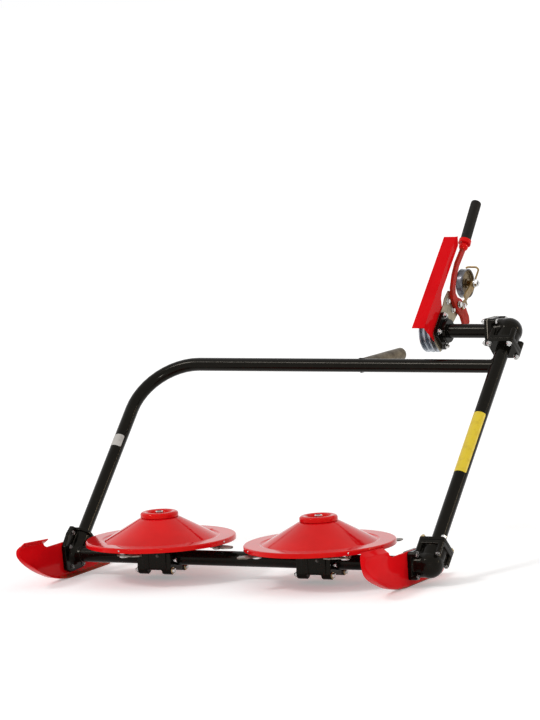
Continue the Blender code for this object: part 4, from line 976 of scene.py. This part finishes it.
def rubbed_red_with_reflection(place):
    """The discs' enamel, brown near the ground: rubbed primer and a painted floor reflection."""
    clouds = place.noise(9.0)
    dust = place.noise(55.0, 6.0, 0.7).between(0.54, 0.78)
    # Browner towards the sole: rubbed primer, and a painted reflection of a wooden floor on the
    # lip.
    rub_and_reflection = place.noise(120.0, 5.0, 0.7) + place.part("Z").between(0.0, SOLE_TOP, 0.42, 0.0)
    rub_and_reflection = rub_and_reflection.between(0.72, 0.86)
    colour = clouds.between(0.35, 0.65).mix(RED_DEEP, RED)
    return {
        "Base Color": rub_and_reflection.mix(colour, SHOE_WORN_AND_REFLECTED),
        "Roughness": 0.08 + 0.10 * dust + 0.40 * rub_and_reflection,
        "Normal": relief(place, place.noise(45.0, 2.0) - 0.3 * rub_and_reflection, 0.0004, 0.18),
    }


shoe_enamel = finish("shoe_enamel", rubbed_red_with_reflection, RED_SATIN)
for side in disc_places:
    node = "shoe_" + side
    skin(node + "_pressing", node, shoe_enamel, "frame", SHOE_EDGE, sharp=40.0)

# The belt guard is a folded sheet in the discs' red, which covers the front and one side of the
# belts between the pulley and the tractor.
GUARD_EDGE = 0.0009
skin("belt_guard_sheet", "belt_guard", guard_enamel, "frame", GUARD_EDGE, segments=3)

# The input pulley is a light turned casting with two V grooves, polished by the belts. A bright nut
# holds it on the input shaft.
PULLEY_STEPS = 96
PULLEY_X = 0.347
PULLEY_HALF = (
    (0.0190, 0.0170), (0.0190, 0.0040), (0.0420, 0.0040), (0.0430, 0.0170),
    (0.0600, 0.0170), (0.0600, 0.0140), (0.0480, 0.0107), (0.0480, 0.0048),
    (0.0600, 0.0015),
)
PULLEY_TAIL = ((0.0100, -0.0170), (0.0100, -0.0470), (0.0, -0.0470))


def both_halves(half):
    """A line of a turned piece and its mirror image in the plane across the axis."""
    return half + tuple((radius, -height) for radius, height in reversed(half))


PULLEY_LINE = rounded(
    ((0.0, 0.0170), *both_halves(PULLEY_HALF), *PULLEY_TAIL),
    (0, 0.001, 0.003, 0.003, 0.001) + (0.0009,) * 12 + (0.003, 0.003, 0.001, 0, 0),
    steps=3,
)
PULLEY_NUT_SEAT = 0.0168
PULLEY_NUT = (0.0085, 0.0060, 0.0140)
work = bmesh.new()
turned(work, PULLEY_LINE, PULLEY_STEPS)
place = at(drive, (PULLEY_X, 0, 0), ALONG_MINUS_X)
node = "input_pulley"
body = "input_shaft"
looks = {"slot": "bare_aluminium", "sharp": 30, "own_axes": True}
solid(node + "_turning", work, turned_metal, body, place, [node], **looks)
work = bmesh.new()
bolt(work, place @ Matrix.Translation((0, 0, PULLEY_NUT_SEAT)), *PULLEY_NUT)
crisp(node + "_nut", work, bright_zinc, body)

# The lever bracket is a plate of zinc-plated steel gone dull, clamped behind the input flange. It
# carries the lever's pivot and two bright screws, and the flange's own bolts are bright too.
DULL_ZINC = (0.30, 0.26, 0.18, 1.0)
DULL_STAINED = (0.17, 0.15, 0.115, 1.0)
dull_zinc = metal("dull_zinc", DULL_ZINC, DULL_STAINED, 0.30, (120.0, 120.0, 400.0))
PLATE_EDGE = 0.0005
skin("lever_bracket_plate", "lever_bracket", dull_zinc, "frame", PLATE_EDGE)
FLANGE_FACE = 0.3846
FLANGE_SPOTS = ((-0.0310, 0.0310), (-0.0310, -0.0270), (0.0320, -0.0290), (0.0310, 0.0310))
FLANGE_BOLT = (0.0072, 0.0055, 0.0085, 0.0030)
BRACKET_FACE = 0.3743
BRACKET_SPOTS = ((-0.0230, 0.0880), (0.0175, 0.0890))
BRACKET_SCREW = (0.0066, 0.0048, 0.0090)
PIVOT_SEAT = (0.3866, 0.0220, 0.1120)
PIVOT_BOLT = (0.0080, 0.0050, 0.0100)
work = bmesh.new()
for spot in FLANGE_SPOTS:
    bolt(work, at(drive, (FLANGE_FACE, *spot), ALONG_X, turn=14), *FLANGE_BOLT)
for spot in BRACKET_SPOTS:
    bolt(work, at(drive, (BRACKET_FACE, *spot), ALONG_X, turn=25), *BRACKET_SCREW)
bolt(work, at(drive, PIVOT_SEAT, ALONG_X, turn=3), *PIVOT_BOLT)
crisp("input_flange_bolts", work, bright_zinc)

# The tension lever is forged flat bar in old dark red, with a brighter collar below the grip. It
# pulls the idler onto the belts.
LEVER_RED = (0.42, 0.018, 0.011, 1.0)
LEVER_RED_WORN = (0.28, 0.024, 0.014, 1.0)


def worn_red(place):
    """Thin dull red paint, browner where it is worn."""
    wear = place.noise(48.0, 6.0, 0.65).between(0.42, 0.62)
    return {
        "Base Color": wear.mix(LEVER_RED, LEVER_RED_WORN),
        "Roughness": 0.26 + 0.20 * wear,
        "Normal": relief(place, place.noise(160.0, 4.0), 0.0005, 0.3),
    }


LEVER_GLOSS = {"Specular IOR Level": 0.05, "Specular Tint": (1.0, 0.5, 0.42, 1.0)}
lever_enamel = finish("lever_enamel", worn_red, LEVER_GLOSS)
LEVER_EDGE = 0.0018
COLLAR_RISE = 0.2500
LEVER = "tension_lever"
lever = skin(LEVER + "_bar", LEVER, lever_enamel, LEVER, LEVER_EDGE, segments=3)
lever.data.materials.append(red_enamel)
to_drive = drive.inverted()
for face in lever.data.polygons:
    if (to_drive @ face.center).z > COLLAR_RISE:
        face.material_index = 1

# The grip is a rubber sleeve with a rounded end, pushed onto the lever's slanted end. It is matt,
# and a little grey where it is held.
RUBBER = (0.0050, 0.0042, 0.0030, 1.0)
RUBBER_GREY = (0.012, 0.010, 0.0075, 1.0)


def sleeve(place):
    """Matt rubber with a faint grey bloom."""
    bloom = place.noise(70.0, 5.0, 0.6).between(0.40, 0.70)
    return {
        "Base Color": bloom.mix(RUBBER, RUBBER_GREY),
        "Roughness": 0.50 + 0.20 * bloom,
        "Normal": relief(place, place.noise(500.0, 3.0), 0.0004, 0.3),
    }


grip_rubber = finish("grip_rubber", sleeve, {"Specular IOR Level": 0.15})
GRIP_SLANT = radians(5.0)
GRIP_RADIUS = 0.0150
GRIP_LENGTH = 0.132
GRIP_FOOT = (0.3791, -0.0465, 0.2520)
GRIP_START = 0.0353
GRIP_STEPS = 48
GRIP_LINE = rounded(
    ((0, GRIP_LENGTH), (GRIP_RADIUS, GRIP_LENGTH), (GRIP_RADIUS, 0), (0, 0)),
    (0, 0.011, 0.001, 0),
    steps=10,
)
place = drive @ Matrix.Translation(GRIP_FOOT) @ Matrix.Rotation(GRIP_SLANT, 4, "X")
place = place @ Matrix.Translation((0, 0, GRIP_START))
work = bmesh.new()
turned(work, GRIP_LINE, GRIP_STEPS)
node = "lever_grip"
solid(node + "_sleeve", work, grip_rubber, LEVER, place, [node], "black_rubber", sharp=50)

# The idler is a pressed steel pulley, browned inside its rim, on a yellow zinc-plated strap with a
# joggle. A bent wire keeps the belts on it, and a bright nut holds its axle.
IDLER = (0.347, 0.0765, 0.2320)
ARM_FOOT = (0.0440, 0.1250)
ARM_OUTER = 0.3839
ARM_INNER = 0.3729
ARM_SHEET = 0.0040
ARM_TILT = atan2(IDLER[1] - ARM_FOOT[0], IDLER[2] - ARM_FOOT[1])
ARM_REACH = sqrt((IDLER[1] - ARM_FOOT[0]) ** 2 + (IDLER[2] - ARM_FOOT[1]) ** 2)
ARM_STATIONS = (
    (-0.0110, ARM_OUTER, -0.0050, 0.0040),
    (-0.0085, ARM_OUTER, -0.0088, 0.0075),
    (-0.0040, ARM_OUTER, -0.0115, 0.0100),
    (0.0040, ARM_OUTER, -0.0120, 0.0110),
    (0.0220, ARM_OUTER, -0.0085, 0.0118),
    (0.0380, ARM_INNER, -0.0090, 0.0120),
    (ARM_REACH - 0.0060, ARM_INNER, -0.0115, 0.0115),
    (ARM_REACH + 0.0040, ARM_INNER, -0.0105, 0.0105),
    (ARM_REACH + 0.0085, ARM_INNER, -0.0078, 0.0078),
    (ARM_REACH + 0.0110, ARM_INNER, -0.0040, 0.0040),
)
STRAP_ZINC = (0.30, 0.190, 0.060, 1.0)
STRAP_STAINED = (0.16, 0.090, 0.026, 1.0)
strap_zinc = metal("strap_zinc", STRAP_ZINC, STRAP_STAINED, 0.26, (120.0, 120.0, 300.0))
ARM_EDGE = 0.0006
WIRE_RADIUS = 0.0027
WIRE_SIDES = 12
WIRE_PATH = rounded(
    (
        (0.3749, 0.0765, 0.2400),
        (0.3684, 0.0860, 0.2900),
        (0.3590, 0.0860, 0.2988),
        (0.3300, 0.0860, 0.2993),
        (0.3268, 0.0860, 0.2945),
    ),
    (0, 0.005, 0.006, 0.004, 0),
)
AXLE_BOSS_LINE = ((0, 0.0258), (0.0085, 0.0258), (0.0085, 0.0104), (0, 0.0104))
AXLE_LINE = ((0, 0.0280), (0.0058, 0.0280), (0.0058, -0.0130), (0, -0.0130))
BACK_COLLAR_LINE = ((0, -0.0103), (0.0095, -0.0103), (0.0095, -0.0150), (0, -0.0150))
AXLE_NUT_SEAT = (0.3770, *IDLER[1:])
AXLE_NUT = (0.0105, 0.0085, 0.0125, 0.0030)
FOOT_SCREW_SEAT = (ARM_OUTER + ARM_SHEET, *ARM_FOOT)
FOOT_SCREW = (0.0068, 0.0048, 0.0085)


def rod(work, rings):
    """Walls through rings of corners, closed at both ends."""
    walls(work, rings)
    work.faces.new(rings[0])
    work.faces.new(rings[-1])


def wire(work, path, radius):
    """A bent round wire along an open line."""
    points = [Vector(point) for point in path]
    rings = []
    across = Vector((0, 1, 0))
    for place, point in enumerate(points):
        ahead = points[min(place + 1, len(points) - 1)] - points[max(place - 1, 0)]
        out = ahead.normalized().cross(across).normalized()
        rings.append(ring_round(work, point, out, across, radius, WIRE_SIDES))
    rod(work, rings)


work = bmesh.new()
strap = Matrix.Translation((0, *ARM_FOOT)) @ Matrix.Rotation(-ARM_TILT, 4, "X")
rings = []
for along, x, low, high in ARM_STATIONS:
    corners = ((x, low), (x, high), (x + ARM_SHEET, high), (x + ARM_SHEET, low))
    rings.append([work.verts.new(strap @ Vector((a, b, along))) for a, b in corners])
rod(work, rings)
wire(work, WIRE_PATH, WIRE_RADIUS)
axle = at(Matrix(), IDLER, ALONG_X)
turned(work, AXLE_BOSS_LINE, SMALL_STEPS, axle)
turned(work, AXLE_LINE, SHAFT_STEPS, axle)
node = "idler_arm"
arm = solid(node + "_strap", work, strap_zinc, LEVER, drive, [node], "zinc_plate", sharp=40)
soften(arm, ARM_EDGE, 50.0)
IDLER_STEPS = 80
IDLER_HALF = (
    (0.0064, 0.0100), (0.0130, 0.0100), (0.0130, 0.0020), (0.0360, 0.0020),
    (0.0375, 0.0100), (0.0420, 0.0100), (0.0405, 0.0070),
)
IDLER_LINE = rounded(
    both_halves(IDLER_HALF),
    (0, 0.001, 0.002, 0.002, 0.001, 0.001, 0.002, 0.002, 0.001, 0.001, 0.002, 0.002, 0.001, 0),
    steps=3,
)
IDLER_FACE = 0.0378
IDLER_STEEL = (0.150, 0.150, 0.165, 1.0)
IDLER_STAINED = (0.035, 0.032, 0.034, 1.0)
BROWN_ZINC = (0.22, 0.165, 0.095, 1.0)
BROWN_STAINED = (0.090, 0.062, 0.034, 1.0)
idler_steel = metal("idler_steel", IDLER_STEEL, IDLER_STAINED, 0.20, (60.0, 60.0, 300.0))
brown_zinc = metal("brown_zinc", BROWN_ZINC, BROWN_STAINED, 0.30, (200.0, 200.0, 60.0))
place = at(drive, IDLER, ALONG_MINUS_X)
work = bmesh.new()
turned(work, IDLER_LINE, IDLER_STEPS, closed=True)
for face in work.faces:
    if face.calc_center_median().xy.length < IDLER_FACE:
        face.material_index = 1
name = "idler_pressing"
idler = solid(name, work, idler_steel, "idler", place, ["idler_pulley"], "bare_steel", sharp=30)
idler.data.materials.append(brown_zinc)
work = bmesh.new()
bolt(work, at(drive, AXLE_NUT_SEAT, ALONG_X, turn=10), *AXLE_NUT)
turned(work, BACK_COLLAR_LINE, SHAFT_STEPS, at(drive, IDLER, ALONG_X))
bolt(work, at(drive, FOOT_SCREW_SEAT, ALONG_X, turn=10), *FOOT_SCREW)
crisp("idler_axle_nut", work, bright_zinc, LEVER)

# Floor and backdrop: one white sheet. It shows as plain white to the camera and to what reflects
# it, and keeps the mower's shadow.
FLOOR_SIZE = 60.0
FLOOR_GLOW = (0.05, 0.05, 0.05, 1.0)
FLOOR_WHITE = (0.24, 0.24, 0.24, 1.0)
FLOOR_MATT = {
    "Base Color": (0.95, 0.95, 0.95, 1.0),
    "Roughness": 1.0,
    "Specular IOR Level": 0.0,
    "Emission Strength": 1.0,
}


def seen_share(tree):
    """1 for what the camera sees, straight or in a reflection, and 0 for what lights the mower."""
    rays = Feed(tree, tree.nodes.new("ShaderNodeLightPath").outputs["Is Camera Ray"])
    path = rays.output.node
    for kind in ("Is Glossy Ray", "Is Transmission Ray"):
        rays = rays.sum("MAXIMUM", rays, Feed(tree, path.outputs[kind]))
    return rays


def lit_white(place):
    """White that shines to the camera and hardly lights the mower."""
    return {"Emission Color": seen_share(place.tree).mix(FLOOR_GLOW, FLOOR_WHITE)}


white_floor = finish("white_floor", lit_white, FLOOR_MATT)
half = FLOOR_SIZE / 2
floor_mesh = bpy.data.meshes.new("floor")
corners = [(-half, -half, 0), (half, -half, 0), (half, half, 0), (-half, half, 0)]
floor_mesh.from_pydata(corners, [], [(0, 1, 2, 3)])
floor_mesh.materials.append(white_floor)
floor = bpy.data.objects.new("floor", floor_mesh)
pieces.link(floor)

# Light: a white room, with a soft key from the front left, a weak flash beside the camera, and a
# low warm one that draws a streak along the tubes.
ROOM_LIGHT = 0.68
world = bpy.data.worlds.new("white_room")
bpy.context.scene.world = world
world.use_nodes = True
room = world.node_tree
sky = room.nodes["Background"]
sky.inputs["Color"].default_value = (1.0, 1.0, 1.0, 1.0)
level = seen_share(room).between(0.0, 1.0, ROOM_LIGHT, 1.0)
room.links.new(level.output, sky.inputs["Strength"])

SUNS = (
    ("key_light", (-0.55, -0.80, 1.05), (1.0, 1.0, 1.0), 0.80, 13.0),
    ("flash_light", (0.476, -0.872, 0.15), (0.94, 0.97, 1.0), 0.32, 3.0),
    ("warm_light", (0.90, 0.35, 0.28), (1.0, 0.84, 0.60), 0.42, 8.0),
)
for name, towards, colour, strength, width in SUNS:
    lamp = bpy.data.lights.new(name, "SUN")
    lamp.color = colour
    lamp.energy = strength
    lamp.angle = radians(width)
    sun = bpy.data.objects.new(name, lamp)
    sun.matrix_world = Vector(towards).to_track_quat("Z", "Y").to_matrix().to_4x4()
    pieces.link(sun)

# The camera stands far off to the front right, where the photograph was taken from. Its place is
# in the deck's axes, fitted to the discs, the bar and the tubes.
CAMERA_PLACE = Vector((6.0188, -10.7858, 1.9645))
CAMERA_TURN = 0.49995
CAMERA_DIP = 0.11432
CAMERA_ROLL = -0.05613
CAMERA_LENS = 226.63
SENSOR = 36.0
SIGHT = 100.0

flat = cos(CAMERA_DIP)
back = Vector((sin(CAMERA_TURN) * flat, -cos(CAMERA_TURN) * flat, sin(CAMERA_DIP)))
level_right = Vector((cos(CAMERA_TURN), sin(CAMERA_TURN), 0.0))
level_up = back.cross(level_right)
right = level_right * cos(CAMERA_ROLL) + level_up * sin(CAMERA_ROLL)
up = level_up * cos(CAMERA_ROLL) - level_right * sin(CAMERA_ROLL)
view = Matrix((right, up, back)).transposed().to_4x4()
view.translation = CAMERA_PLACE
lens = bpy.data.cameras.new("camera")
lens.lens = CAMERA_LENS
lens.sensor_fit = "VERTICAL"
lens.sensor_height = SENSOR
lens.clip_end = SIGHT
camera = bpy.data.objects.new("camera", lens)
pieces.link(camera)
camera.matrix_world = deck @ view
bpy.context.scene.camera = camera
bpy.context.scene.view_settings.view_transform = "Standard"
